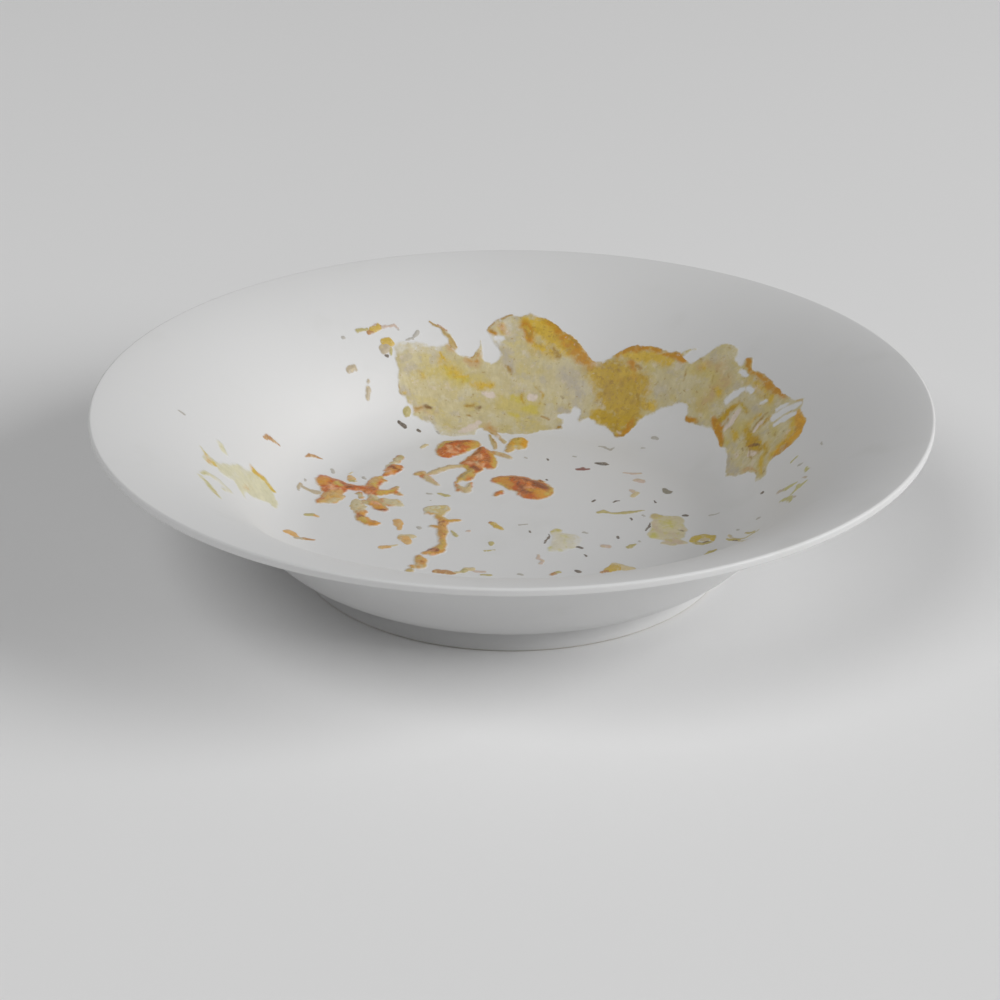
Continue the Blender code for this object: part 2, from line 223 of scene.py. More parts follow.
def turnedPlate():
    # the profile turned once round the axis: (r cos a, r sin a, z), with one point at each pole
    path, around = plateProfile(), plate['around']
    angle = np.linspace(0.0, 2.0 * math.pi, around, endpoint=False)[:, None]
    rings = path[1:-1]
    x, y = rings[:, 0] * np.cos(angle), rings[:, 0] * np.sin(angle)
    z = np.broadcast_to(rings[:, 1], x.shape)
    points = np.stack((x, y, z), -1).reshape(-1, 3)
    points = np.vstack((points, [(0.0, 0.0, path[0][1]), (0.0, 0.0, path[-1][1])])) * mm
    across = len(rings)
    first = np.arange(around)[:, None] * across + np.arange(across - 1)
    second = (first + across) % (around * across)
    quads = np.stack((first, first + 1, second + 1, second), -1).reshape(-1, 4)
    start = np.arange(around) * across
    after = np.roll(start, -1)
    topPole, lowPole = np.full(around, around * across), np.full(around, around * across + 1)
    fans = np.vstack((np.column_stack((topPole, start, after)),
                      np.column_stack((lowPole, after + across - 1, start + across - 1))))
    return points, quads.tolist() + fans.tolist()


def glazeTone(recipe, place):
    # the white glaze with dried washes of grease: its colour and its roughness
    p = plate
    cloud = recipe.grain(place, p['cloudSize'] * mm)
    wash = recipe.band(recipe.grain(place, p['washSize'] * mm, 3.0), *p['washBand']) * p['washShare']
    light = cloud * p['cloudShade'] + (1.0 - 0.5 * p['cloudShade'])
    color = recipe.shade(recipe.tint(wash, p['glaze'], p['grease']), light)
    return color, wash * p['washRough'] + p['gloss']


def glazeFinish():
    p = plate
    material, recipe, shader = newFinish("white_glaze")
    place = recipe.place()
    height = recipe.add('ShaderNodeSeparateXYZ', None, {0: place}, 2)
    low, high = p['bareTop']
    bare = 1.0 - recipe.band(height, low * mm, high * mm)    # the foot stands unglazed
    color, rough = glazeTone(recipe, place)
    recipe.feed(shader.inputs['Base Color'], recipe.tint(bare, color, p['bisque']))
    recipe.feed(shader.inputs['Roughness'], bare * p['bareRough'] + rough)
    pits = recipe.grain(place, p['pitSize'] * mm) * p['pitShare']
    waves = recipe.grain(place, p['waveSize'] * mm) + pits
    recipe.feed(shader.inputs['Normal'], recipe.bump(waves, p['waveDepth'] * mm))
    return material


platePoints, plateFaces = turnedPlate()
makePiece("glazed_plate", platePoints, plateFaces, glazeFinish(), ("plate",))
print("plate turned:", len(plateFaces), "faces")


# What all the food has in common, in mm. A noise is its sizes, how much each adds, and its seeds.
food = {
    'wellMiddle': (0.0, -2.4), 'wellFade': (66.0, 80.0),             # see settle
    'strayAcross': ((2.3, 0.9), (1.0, 0.5), (3, 4)),                 # what makes the outlines ragged
    'strayAlong': ((2.3, 0.9), (1.0, 0.5), (7, 8)),
    'uneven': ((1.9, 0.8), (0.3, 0.2), (31, 33)),                    # what makes the spots uneven
    'edgePatch': (5.0, 35), 'thinPatch': (7.0, 37),                  # size and seed; both lines come and go
    'thinShare': 0.35,
    'lumpSizes': (1.0, 0.45), 'lumpShares': (0.6, 0.4), 'lumpSeeds': (13, 17),
    'climbEase': 0.5, 'skirtSlope': 0.6,                             # how the edge leaves the glaze
    'skirt': 0.45, 'dip': 0.15, 'back': 0.35,                        # depths: skirt, its top, the back
    'cloudBand': (0.4, 0.6), 'markBand': (0.1, 0.8), 'coverBand': (0.05, 0.7),
    'firmEdge': 0.7, 'gritGloss': 0.3, 'poreShare': 0.5,
}
noiseCorners, noiseSlant = 64, (0.94, 0.34)


def smoothNoise(u, v, cell, seed):
    # a random height at each corner of a slanted square lattice, eased between the corners: -1 to 1
    table = np.random.default_rng(seed).uniform(-1.0, 1.0, (noiseCorners, noiseCorners))
    along, across = noiseSlant
    gu, gv = (u * along + v * across) / cell, (v * along - u * across) / cell
    iu, iv = np.floor(gu).astype(int), np.floor(gv).astype(int)
    fu, fv = gu - iu, gv - iv
    fu, fv = fu * fu * (3.0 - 2.0 * fu), fv * fv * (3.0 - 2.0 * fv)
    iu, iv, ju, jv = iu % noiseCorners, iv % noiseCorners, (iu + 1) % noiseCorners, (iv + 1) % noiseCorners
    low = table[iu, iv] * (1.0 - fu) + table[ju, iv] * fu
    high = table[iu, jv] * (1.0 - fu) + table[ju, jv] * fu
    return low * (1.0 - fv) + high * fv


def twoNoises(u, v, sizes, shares, seeds):
    # a coarse and a fine noise, each times its share
    return sum(share * smoothNoise(u, v, size, seed) for size, share, seed in zip(sizes, shares, seeds))


def closedCurve(corners, share=4):
    # between two corners the curve is the cubic that runs parallel to the neighbours' chord at each
    here = np.array(corners, float)
    before, after, beyond = np.roll(here, 1, 0), np.roll(here, -1, 0), np.roll(here, -2, 0)
    t = (np.arange(share) / share)[:, None, None]
    square = 2.0 * before - 5.0 * here + 4.0 * after - beyond
    cube = 3.0 * here - before - 3.0 * after + beyond
    curve = 0.5 * (2.0 * here + (after - before) * t + square * t ** 2 + cube * t ** 3)
    return curve.transpose(1, 0, 2).reshape(-1, 2)


def insideDistance(u, v, corners):
    # how far a point lies inside the closed curve through the corners; negative outside it
    curve = closedCurve(corners)
    nearest, inside = np.full(u.shape, 1e9), np.zeros(u.shape, bool)
    for (au, av), (bu, bv) in zip(curve, np.roll(curve, -1, 0)):
        du, dv = bu - au, bv - av
        share = np.clip(((u - au) * du + (v - av) * dv) / (du * du + dv * dv + 1e-12), 0.0, 1.0)
        nearest = np.minimum(nearest, (u - au - share * du) ** 2 + (v - av - share * dv) ** 2)
        if dv:
            inside ^= ((av > v) != (bv > v)) & (u < au + du * (v - av) / dv)
    return np.where(inside, 1.0, -1.0) * np.sqrt(nearest)


def trailDistance(u, v, path, widths):
    # round-ended strokes from point to point: half the width there less the distance to the path
    half = np.broadcast_to(widths, len(path)) / 2.0
    if len(path) == 1:
        return half[0] - np.hypot(u - path[0, 0], v - path[0, 1])
    best = np.full(u.shape, -1e3)
    for i in range(len(path) - 1):
        du, dv = path[i + 1] - path[i]
        share = np.clip(((u - path[i, 0]) * du + (v - path[i, 1]) * dv) / (du * du + dv * dv), 0.0, 1.0)
        away = np.hypot(u - path[i, 0] - share * du, v - path[i, 1] - share * dv)
        best = np.maximum(best, half[i] + (half[i + 1] - half[i]) * share - away)
    return best


def strayed(u, v, amount):
    # the place pushed about by two sizes of noise, so that edges and spots are ragged
    return (u + amount * twoNoises(u, v, *food['strayAcross']),
            v + amount * twoNoises(u, v, *food['strayAlong']))


def settle(places):
    # places in the well are counted from a point in front of the plate's middle; up the wall that fades out
    places = np.reshape(places, (-1, 2)).astype(float)
    near, far = food['wellFade']
    share = np.clip((far - np.hypot(places[:, 0], places[:, 1])) / (far - near), 0.0, 1.0)
    return places + share[:, None] * food['wellMiddle']


def markNames(look):
    # the tones that lie in spots; the first and the second tone are the ground
    return [name for name in look['tones'] if name not in ('first', 'second')]


def foodReach(u, v, look, unroll):
    # how far a point lies inside the outline or a stroke, less the holes
    reach = insideDistance(u, v, unroll(look['outline']))
    for path, widths in look.get('strokes', ()):
        reach = np.maximum(reach, trailDistance(u, v, unroll(path), widths))
    for path, widths in look.get('holes', ()):
        reach = np.minimum(reach, -trailDistance(u, v, unroll(path), widths))
    return reach


def foodMarks(u, v, reach, look, unroll):
    # each mark is its strongest soft stroke, 1 well inside it and 0 just outside, made uneven by noise
    marks = {name: np.zeros(u.shape) for name in markNames(look)}
    uneven = 1.0 + twoNoises(u, v, *food['uneven'])
    for name, spots in look['spots'].items():
        for strength, soft, path, widths in spots:
            inside = trailDistance(u, v, unroll(path), widths)
            share = np.clip(0.5 + inside / (look['blur'] * soft), 0.0, 1.0)
            marks[name] = np.maximum(marks[name], np.clip(strength * share * uneven, 0.0, 1.0))
    line = np.clip(1.0 - reach / look['edgeLine'], 0.0, 1.0)                 # the drying line
    patchy = np.clip(look['edgeShare'] + smoothNoise(u, v, *food['edgePatch']), 0.0, 1.0)
    marks['edge'] = np.maximum(marks['edge'], line * patchy)
    fade = np.clip(1.0 - reach / look['fade'], 0.0, 1.0)                     # where the film thins out
    patchy = np.clip(food['thinShare'] + smoothNoise(u, v, *food['thinPatch']), 0.0, 1.0)
    marks['thin'] = np.maximum(marks['thin'], fade * patchy)
    return marks


def surfaceMarks(u, v, reach, marks, look):
    # the tones' marks, how well the food covers the glaze, and the place along and up in mm;
    # the firm marks end more sharply than the rest
    firm = np.clip(sum(marks[mark] for mark in look['firm']), 0.0, 1.0)
    cover = np.clip(reach / (look['soft'] * (1.0 - food['firmEdge'] * firm)), 0.0, 1.0)
    cover = cover * (1.0 - look['sheer'] * marks.get('thin', 0.0))
    return {**marks, 'cover': cover, 'along': u, 'up': v}


def foodLift(u, v, reach, marks, look):
    # from the edge the food climbs to its film, its dome (a quarter round over the crown's width)
    # and what each mark adds, all made lumpy by noise; outside the edge it dips below the glaze
    sizes = [look['lump'] * size for size in food['lumpSizes']]
    rough = twoNoises(u, v, sizes, food['lumpShares'], food['lumpSeeds'])
    inner = np.clip(reach - look['rim'], 0.0, look['crown']) / look['crown']
    dome = np.sqrt(1.0 - (1.0 - inner) ** 2) * look['height']
    thick = look['film'] + dome + sum(marks[mark] * lift for mark, lift in look['lifts'].items())
    thick = thick * (1.0 + rough * look['lumpy'])
    inside = np.maximum(reach, 0.0)
    climb = look['bevel'] * inside ** 2 / (inside + food['climbEase'])       # flat at first, then steeper
    return np.where(reach > 0.0, np.minimum(thick, climb), reach * food['skirtSlope'])


def reliefShell(x, y, lift, marks):
    # keeps the cells of the grid that rise above the glaze and a skirt that dips under it;
    # a back lies below, and a low wall joins the two
    over = lift > -food['skirt']
    kept = over[:-1, :-1] | over[1:, :-1] | over[:-1, 1:] | over[1:, 1:]
    pinched = True
    while pinched:                                           # cells that touch at a corner get a neighbour
        falling = kept[:-1, :-1] & kept[1:, 1:] & ~kept[1:, :-1] & ~kept[:-1, 1:]
        rising = kept[1:, :-1] & kept[:-1, 1:] & ~kept[:-1, :-1] & ~kept[1:, 1:]
        kept[1:, :-1] |= falling
        kept[1:, 1:] |= rising
        pinched = falling.any() or rising.any()
    number = np.arange(x.size).reshape(x.shape)
    under = x.size
    a, b, c, d = number[:-1, :-1], number[1:, :-1], number[1:, 1:], number[:-1, 1:]
    quads = [np.stack((a, b, c, d), -1)[kept], np.stack((a, d, c, b), -1)[kept] + under]
    ringed = np.pad(kept, 1)
    before, beyond = ringed[:-1, 1:-1], ringed[1:, 1:-1]
    left, right = ringed[1:-1, :-1], ringed[1:-1, 1:]
    for bare, p, q in ((beyond & ~before, number[:, :-1], number[:, 1:]),
                       (before & ~beyond, number[:, 1:], number[:, :-1]),
                       (left & ~right, number[:-1, :], number[1:, :]),
                       (right & ~left, number[1:, :], number[:-1, :])):
        p, q = p[bare], q[bare]
        quads.append(np.column_stack((p, q, q + under, p + under)))
    quads = np.vstack(quads)
    turn = (x[1:, :-1] - x[:-1, :-1]) * (y[:-1, 1:] - y[:-1, :-1])
    turn = turn - (y[1:, :-1] - y[:-1, :-1]) * (x[:-1, 1:] - x[:-1, :-1])
    if turn.mean() < 0.0:                                    # the grid runs the other way round
        quads = quads[:, ::-1]
    used, faces = np.unique(quads, return_inverse=True)
    top = onGlaze(x, y, np.maximum(lift, -food['dip'])).reshape(-1, 3)
    low = onGlaze(x, y, np.full(x.shape, -food['back'])).reshape(-1, 3)
    values = {mark: np.tile(value.ravel(), 2)[used] for mark, value in marks.items()}
    return np.vstack((top, low))[used], faces.reshape(-1, 4), values


def foodFinish(name, look):
    # two tones in soft clouds, blotches, each mark's tone inside a torn border, then flecks;
    # where the food covers the glaze thinly, the glaze shows through.
    # Noise layers: from 2 for the marks, from 20 for the flecks, 40 for wear, from 60 for the blotches
    material, recipe, shader = newFinish(name)
    place, tones = recipe.place(), look['tones']

    def patches(size, low, high, layer):
        return recipe.band(recipe.grain(place, size * mm, 3.0, 0.6, layer), low, high)

    def torn(amount, layer):
        return recipe.grain(place, look['tear'] * mm, 4.0, 0.65, layer) * amount + (1.0 - 0.5 * amount)

    cloud = recipe.band(recipe.grain(place, look['cloud'] * mm, 3.0), *food['cloudBand'])
    color = recipe.tint(cloud, tones['first'], tones['second'])
    for layer, (tone, size, low, high, strength) in enumerate(look['blotches'], 60):
        color = recipe.tint(patches(size, low, high, layer) * strength, color, tones[tone])
    for layer, mark in enumerate(markNames(look), 2):
        share = recipe.band(recipe.mark(mark) * torn(look['fray'], layer), *food['markBand'])
        color = recipe.tint(share, color, tones[mark])
    for layer, (tone, size, low, high, strength, where) in enumerate(look['flecks'], 20):
        fleck = patches(size, low, high, layer) * strength
        if where:
            fleck = fleck * recipe.mark(where)
        color = recipe.tint(fleck, color, tones[tone])
    along, up = (recipe.mark(axis) * (1.0 / drag) for axis, drag in zip(('along', 'up'), look['drag']))
    dragged = recipe.add('ShaderNodeCombineXYZ', None, {0: along, 1: up, 2: 0.0})
    streak = recipe.grain(dragged, 1.0, 3.0, 0.6)
    grit = recipe.grain(place, look['grit'] * mm, 4.0, 0.7)
    light = grit * (2.0 * look['mottle']) + streak * (2.0 * look['streaks'])
    color = recipe.shade(color, light + (1.0 - look['mottle'] - look['streaks']))
    cover = recipe.band(recipe.mark('cover') * torn(look['wear'], 40), *food['coverBand'])
    glaze, glazeRough = glazeTone(recipe, place)
    rough = grit * food['gritGloss'] + (look['gloss'] - 0.5 * food['gritGloss'])
    recipe.feed(shader.inputs['Base Color'], recipe.tint(cover, glaze, color))
    recipe.feed(shader.inputs['Roughness'], cover * rough + (1.0 - cover) * glazeRough)
    pores = recipe.grain(place, look['grit'] * 0.5 * mm, 3.0, 0.6)
    lumps = (grit + pores * food['poreShare'] + streak * food['poreShare']) * cover
    recipe.feed(shader.inputs['Normal'], recipe.bump(lumps, look['relief'] * mm))
    return material


def makeFood(name, shells, look):
    # one piece out of one or more shells
    starts = np.cumsum([0] + [len(points) for points, faces, marks in shells])
    points = np.vstack([shell[0] for shell in shells])
    faces = np.vstack([shell[1] + start for shell, start in zip(shells, starts)])
    marks = {mark: np.concatenate([shell[2][mark] for shell in shells]) for mark in shells[0][2]}
    makePiece(name, points, faces.tolist(), foodFinish(name + "_finish", look),
              look.get('nodes', ()), marks)
    print(name, "laid:", len(faces), "faces")


def planGrid(left, right, front, back, cell):
    return np.meshgrid(np.arange(left, right, cell), np.arange(front, back, cell))


def layFood(name, look, unroll=settle, rollUp=None):
    # one film or lump on a grid; unroll takes its places to the grid, rollUp the grid to the plan
    u, v = planGrid(*look['grid'], look['cell'])
    su, sv = strayed(u, v, look['stray'])
    reach = foodReach(su, sv, look, unroll) + look['spread']
    marks = foodMarks(su, sv, reach, look, unroll)
    lift = foodLift(u, v, reach, marks, look)
    x, y = rollUp(u, v) if rollUp else (u, v)
    makeFood(name, [reliefShell(x, y, lift, surfaceMarks(u, v, reach, marks, look))], look)


def scatterCrumbs(name, look):
    # small bits of one kind in one mesh: each is a stroke on a little grid of its own
    shells = []
    for mark, path, widths in look['crumbs']:
        path = settle(path)
        margin = np.max(widths) / 2.0 + 3.0 * look['cell'] + 1.5 * look['stray']
        (left, front), (right, back) = path.min(0) - margin, path.max(0) + margin
        u, v = planGrid(left, right, front, back, look['cell'])
        reach = trailDistance(*strayed(u, v, look['stray']), path, widths) + look['spread']
        marks = {tone: np.full(u.shape, float(tone == mark)) for tone in markNames(look)}
        marks['edge'] = np.clip(1.0 - reach / look['edgeLine'], 0.0, 1.0) * look['edgeShare']
        lift = foodLift(u, v, reach, marks, look)
        shells.append(reliefShell(u, v, lift, surfaceMarks(u, v, reach, marks, look)))
    makeFood(name, shells, look)


# The smear is worked out on the wall rolled flat: u runs along the wall, v up its slope, both in mm.
# Its places are (azimuth in degrees, radius in mm), counted from the right-hand side of the plate.
wallPerDegree = math.radians(90.0)               # mm along the wall for one degree, 90 mm from the axis


def unrollWall(places):
    places = np.reshape(places, (-1, 2)).astype(float)
    along = (90.0 - places[:, 0]) * wallPerDegree
    return np.column_stack((along, np.interp(places[:, 1], wallRadius, wallLength)))


def rollUpWall(u, v):
    azimuth = np.radians(90.0 - u / wallPerDegree)
    radius = np.interp(v, wallLength, wallRadius)
    return radius * np.cos(azimuth), radius * np.sin(azimuth)


# Each look below says how one food is laid and coloured, with lengths in mm. 'grid' is the area worked on.
# A path is a row of places with one width for each, or one width for all. 'strokes' add to the outline and
# 'holes' cut into it: (path, widths). 'spots' lay the tones: (strength, soft edge, path, widths).
# 'lifts' is what a mark adds to the height, and 'firm' marks end sharply.
filmBasics = {
    'cell': 0.36, 'stray': 0.4, 'cloud': 3.2, 'grit': 0.9, 'mottle': 0.16, 'gloss': 0.5, 'relief': 0.08,
    'film': 0.12, 'rim': 0.0, 'height': 0.10, 'crown': 2.0, 'lump': 1.5, 'lumpy': 0.4, 'bevel': 0.12,
    'edgeLine': 0.6, 'edgeShare': -0.3, 'fade': 1.6, 'spread': 0.4, 'soft': 1.2, 'sheer': 0.7, 'wear': 2.6,
    'tear': 1.0, 'fray': 2.6, 'blur': 1.7, 'streaks': 0.10, 'drag': (1.1, 1.1), 'blotches': (),
    'flecks': (), 'firm': (),
}

smear = {
    **filmBasics, 'slot': "golden_sauce", 'nodes': ("sauce_smear",),
    'grid': (-47.0, 137.0, 50.0, np.interp(108.0, wallRadius, wallLength)),      # up to the radius 108
    'cell': 0.38,
    'drag': (0.7, 2.8), 'streaks': 0.17, 'edgeLine': 0.7, 'edgeShare': 0.0, 'fray': 1.9, 'sheer': 0.55,
    'mottle': 0.18, 'soft': 1.6, 'film': 0.09, 'firm': ('orange', 'bright', 'brown', 'edge'),
    'outline': (
        # along the upper edge, from the left end to the right end
        (116.4, 94), (116, 97), (114, 98), (110, 97.4), (107.5, 96), (105.5, 95.6), (103.4, 96),
        (101.8, 93), (99.5, 91.9), (98.2, 92.2), (97, 94.4), (96.3, 96.2), (96.1, 91.4), (95, 90.4),
        (93.4, 90.4), (92.2, 92), (93.3, 95), (94.5, 97.6), (95.1, 98.8), (94, 100.8), (92, 102.8),
        (90, 103.8), (88, 103.4), (86, 104.5), (84, 104), (82, 102.6), (80, 100.8), (78, 98.9), (76, 97.6),
        (74, 95.2), (72, 92.8), (70.2, 91.5), (68.4, 92.3), (66.6, 94), (65, 96), (63, 97.6), (60, 98.3),
        (57, 98.5), (54, 98.4), (52, 98.9), (50.4, 97.5), (48.4, 97), (47.2, 98.4), (45.8, 100.8),
        (45, 103.8), (43.6, 105.6), (41.5, 106.1), (39.8, 104.9), (38.8, 102.2), (37.2, 101.2), (37, 103.2),
        (36.3, 104.8), (34.9, 103.6), (33.8, 102), (32, 101.9), (29.5, 102), (27.2, 101.6), (24.5, 100.7),
        (21, 100.6), (18.2, 101), (16.8, 102.5), (16, 103.3), (14.8, 102), (13.6, 100.3), (10.5, 100.2),
        (8.4, 98.8), (7, 97.2), (6.1, 94.8), (6.6, 91), (7.6, 88), (7.2, 86.2), (4.9, 85.2),
        # back along the lower edge
        (6.6, 82.9), (8, 82.3), (9.8, 83.2), (12, 82), (13.8, 80), (15.5, 78.2), (17.5, 77.1), (20, 78),
        (22.5, 80), (25, 82), (28, 82.3), (31, 83.4), (34, 84.5), (37, 84), (41, 83.6), (43, 83.5),
        (42.8, 85.4), (44.6, 87), (47, 86.4), (49.4, 84.8), (52, 82.5), (54.2, 80.5), (55, 77), (56, 73),
        (58.1, 71), (60.4, 72.8), (63, 74.2), (66, 75.2), (68.6, 76.8), (70.2, 75), (71.4, 75.8),
        (71.3, 78.8), (73, 79.8), (74, 77.4), (76.3, 77), (76.8, 76.2), (75.4, 75.4), (75, 73),
        (74.9, 70.3), (77, 69.6), (80, 68.5), (83, 66.4), (86, 65.4), (90, 65.2), (93.6, 66.6),
        (97.2, 67.6), (99.4, 69.6), (101, 66), (104, 65.6), (108, 66), (111, 68.4), (112, 71.4),
        (112.2, 74), (114, 76.4), (116.2, 79), (115.8, 81.6), (117.2, 84.4), (117.8, 86), (117.1, 89),
        (116.3, 91.4),
    ),
    'strokes': (
        ((96, 68, 94.8, 66, 93.6, 62.8), (3.4, 3.6, 2.4)), ((96.6, 65, 95.8, 60, 95.8, 54), (1.8, 3.8, 3)),
        ((93.6, 63, 92.2, 58.6), (2.2, 3)),
        ((106.6, 102.9, 104.8, 101, 103.4, 98, 102.4, 94.6), (0.8, 1.1, 2.4, 2.8)),
        ((51.4, 98.4, 50, 100.4, 48.9, 101), (1.6, 1.2, 0.7)),
    ),
    'holes': (
        ((93, 96.8, 91.6, 96.6), (0.9, 1.1)), ((98.4, 69, 98.2, 62, 98, 54), (1.2, 2.4, 2.6)),
        ((34.2, 91.6, 33, 93.8, 32, 96), (1.8, 2.6, 1.4)), ((31, 96.7, 30, 96.2), (1.8, 2.2)),
        ((35.4, 99.7, 34, 99.5), (2, 1.4)), ((24.6, 96.4, 25.2, 95), (0.8, 0.7)),
        ((15.6, 101.4, 17.2, 97.6, 18.7, 94.2), (1.2, 2.2, 2)),
        ((14.2, 98.8, 15.5, 95.8, 16.6, 93.2), (1.4, 2.3, 1.3)), ((18.6, 98.6, 19.6, 96.2), (1, 0.8)),
    ),
    'lifts': {'mustard': 0.05, 'gold': 0.06, 'orange': 0.10, 'bright': 0.12, 'brown': 0.15, 'umber': 0.06},
    'tones': {
        'first': (0.52, 0.455, 0.265), 'second': (0.475, 0.405, 0.215), 'thin': (0.55, 0.505, 0.38),
        'grey': (0.42, 0.37, 0.28), 'straw': (0.495, 0.405, 0.14), 'yellow': (0.50, 0.41, 0.08),
        'rust': (0.47, 0.33, 0.16), 'gold': (0.54, 0.36, 0.03), 'mustard': (0.43, 0.275, 0.01),
        'orange': (0.435, 0.195, 0.002), 'bright': (0.57, 0.285, 0.003), 'blush': (0.61, 0.52, 0.44),
        'edge': (0.38, 0.25, 0.09), 'umber': (0.30, 0.175, 0.02), 'brown': (0.17, 0.09, 0.02),
    },
    'blotches': (                                # tone, size, where it starts, where it is full, strength
        ('straw', 3.4, 0.50, 0.60, 0.5), ('grey', 2.4, 0.54, 0.64, 0.6), ('blush', 1.8, 0.57, 0.66, 0.35),
        ('thin', 3.0, 0.54, 0.64, 0.4),
    ),
    'flecks': (                                  # the same, and the mark it lies on
        ('umber', 0.8, 0.62, 0.68, 0.5, None), ('mustard', 1.5, 0.50, 0.60, 0.6, 'gold'),
        ('gold', 2.4, 0.50, 0.66, 0.5, 'mustard'), ('orange', 3.0, 0.54, 0.70, 0.4, 'mustard'),
        ('umber', 0.8, 0.54, 0.64, 0.6, 'mustard'), ('umber', 0.7, 0.58, 0.66, 0.45, 'orange'),
        ('umber', 0.9, 0.56, 0.65, 0.6, 'gold'), ('umber', 2.2, 0.54, 0.66, 0.45, 'mustard'),
        ('gold', 1.2, 0.56, 0.65, 0.5, 'orange'), ('orange', 1.4, 0.52, 0.60, 0.6, 'bright'),
    ),
    'spots': {
        'thin': (
            (1, 4, (116.4, 96.4, 112, 97, 106.6, 95.6), (3.6, 4, 2.8)), (0.6, 3, (117.4, 90, 117.4, 85), 2),
            (0.6, 3, (91, 103, 90, 99), (4, 5)),
            (0.9, 4, (113, 74, 109, 67.5, 104, 66.4, 100, 68), (3, 4, 4, 3)),
            (0.8, 2.4, (93.6, 97.6, 92, 94.6), (2.4, 2.8)),
        ),
        'grey': (
            (0.8, 2.4, (75.5, 78, 73.8, 77.2), 2.4), (0.6, 2.6, (88.6, 103, 88.4, 99), (2.4, 2)),
            (0.6, 2.6, (26, 93.6, 23, 93), (3.4, 3)), (0.8, 3, (93, 94, 91, 92.4, 89.4, 88), (3, 4, 2.4)),
            (0.8, 3, (23, 80.6, 18.4, 79, 15.4, 80), (3.4, 4.6, 2)),
            (0.7, 4, (77, 88, 73.6, 85.6, 72, 81), (6, 7, 4)),
            (0.7, 2.4, (114.6, 90.4, 112.6, 91), (3.4, 2.4)), (0.8, 1.6, (116.6, 86, 115.8, 85), (2.6, 2)),
            (0.8, 1.4, (104.8, 100.6), 2.2), (0.8, 2, (71, 77, 70, 76), (2.6, 2)),
            (0.9, 2, (76.4, 78.4, 74.6, 77.4), (3, 2.6)), (0.6, 3, (52.6, 89, 51, 87), (4, 3)),
            (0.7, 2, (75.6, 72.4, 76, 70.6), 2.6),
        ),
        'blush': (
            (0.6, 2.4, (92.6, 101.4, 90.4, 98), (2.4, 3.4)), (0.4, 1.2, (96.9, 94, 96.3, 91.6), (1.4, 1.8)),
            (1, 0.9, (85, 82.1, 83.8, 81.7), (2.3, 2.5)),
            (1, 0.9, (17.4, 84.9, 16, 85.4, 15.1, 86), (2, 1.8, 1.4)),
            (1, 0.8, (96.4, 82.9, 94.4, 82.4), 1.7),
            (1, 1, (105, 68.6, 102, 70, 99, 72.6), (1.8, 3.6, 2.4)),
            (1, 1, (29.2, 91, 29.4, 88.4, 29.9, 85.8), (1.4, 2.5, 1.3)),
            (0.4, 2, (70.8, 91, 68.8, 91.2), 2.4), (0.7, 1, (37.2, 102), 1.4),
            (0.9, 0.9, (20.7, 91.6, 21, 89.4), 1.6), (0.9, 1, (21.2, 83, 20.4, 82.6), 1.7),
            (0.6, 1.6, (10.8, 95, 10.2, 93), 2.2), (0.5, 2, (29.6, 97.6, 26.6, 97.4), 2),
            # the small spot at (59, 74) is a painted highlight on the wet sauce; the others are pink film
            (0.9, 1.2, (94, 64, 94.8, 60), (1.4, 1.8)), (0.7, 0.7, (59, 74, 57.6, 73.2), 0.9),
        ),
        'rust': (
            (0.8, 1.6, (14.8, 81.4, 12.6, 83), (2.2, 2)), (0.8, 1.6, (94.4, 99.6, 93.4, 98), (1.6, 1.4)),
            (0.6, 4, (46, 96.6, 41.6, 99, 38, 95, 40, 88.6), (4, 6, 7, 6)),
            (0.9, 1.2, (98, 85, 95, 84.8), 1.2),
            (1, 1.8, (99.8, 90.8, 97.8, 90, 97, 92.4), (2.2, 3.4, 1.6)),
            (1, 3, (96.6, 70.6, 95.4, 67.6, 94, 62, 94.4, 54), (3.4, 5, 6, 6)),
            (1, 1.6, (103.8, 97, 103.2, 94.4), (2, 3)), (0.7, 1.2, (97.6, 92.6, 97.4, 91), 1.4),
            (0.6, 2, (71.2, 92, 69.6, 90.6), 2.6),
            (0.5, 2.4, (114.8, 81, 112.6, 79.4, 110, 78.6), (2, 3, 2)),
            (0.9, 1.4, (115.2, 80.6, 113.2, 80.8), (1.6, 2)),
        ),
        'straw': (
            (0.8, 4, (111, 89, 106.6, 89, 101.6, 86.6, 97, 86), (4, 6, 6, 4)),
            (0.9, 4, (92, 80, 88, 79.6, 84, 78.4), (6, 9, 7)), (0.7, 3, (101.6, 80, 99.6, 80), 3),
            (0.7, 3, (15, 92, 13, 91), 4), (0.5, 3, (87.5, 89, 85, 87), (4, 3)),
            (0.6, 3, (82.4, 73, 88, 73), (4, 5)),
            (0.9, 3, (47, 95.6, 42, 96.4, 38, 93.6, 40, 88), (4, 6, 6, 6)), (0.8, 3, (24, 89, 26, 87), 5),
            (0.6, 2, (56.6, 92.6, 59, 93.6), (3.4, 3)), (0.8, 2, (12.8, 88, 10.6, 85.4), 3),
        ),
        'gold': (
            (0.6, 2.8, (106, 91.4, 104, 89, 101.4, 87), (3, 4.6, 2.6)),
            (0.8, 2, (99.4, 85.2, 97, 84.8, 94.4, 85), (2.2, 2.8, 2)),
            (1, 3, (86, 101, 83.4, 100, 80.2, 97, 76, 94), (4.6, 8, 8, 5)),
            (0.8, 4, (84.6, 95, 80.4, 93.4), (4, 5)), (0.6, 3, (66, 90, 61, 88), (4, 5)),
            (0.4, 1.6, (103.9, 98.6, 102.8, 95.4), (1.6, 2.2)),
            (0.9, 1, (103.4, 87.4, 101.4, 87.2, 100.2, 87.4), (0.8, 1.6, 0.8)),
            (0.8, 0.9, (105.8, 93.4, 105, 91), 0.9), (0.8, 0.9, (116.5, 85.4), 1.5),
            (0.8, 1.6, (92, 100.4, 91.2, 98.2), 2.6), (0.8, 1.6, (38.6, 92.8, 37.4, 92.2), 2.2),
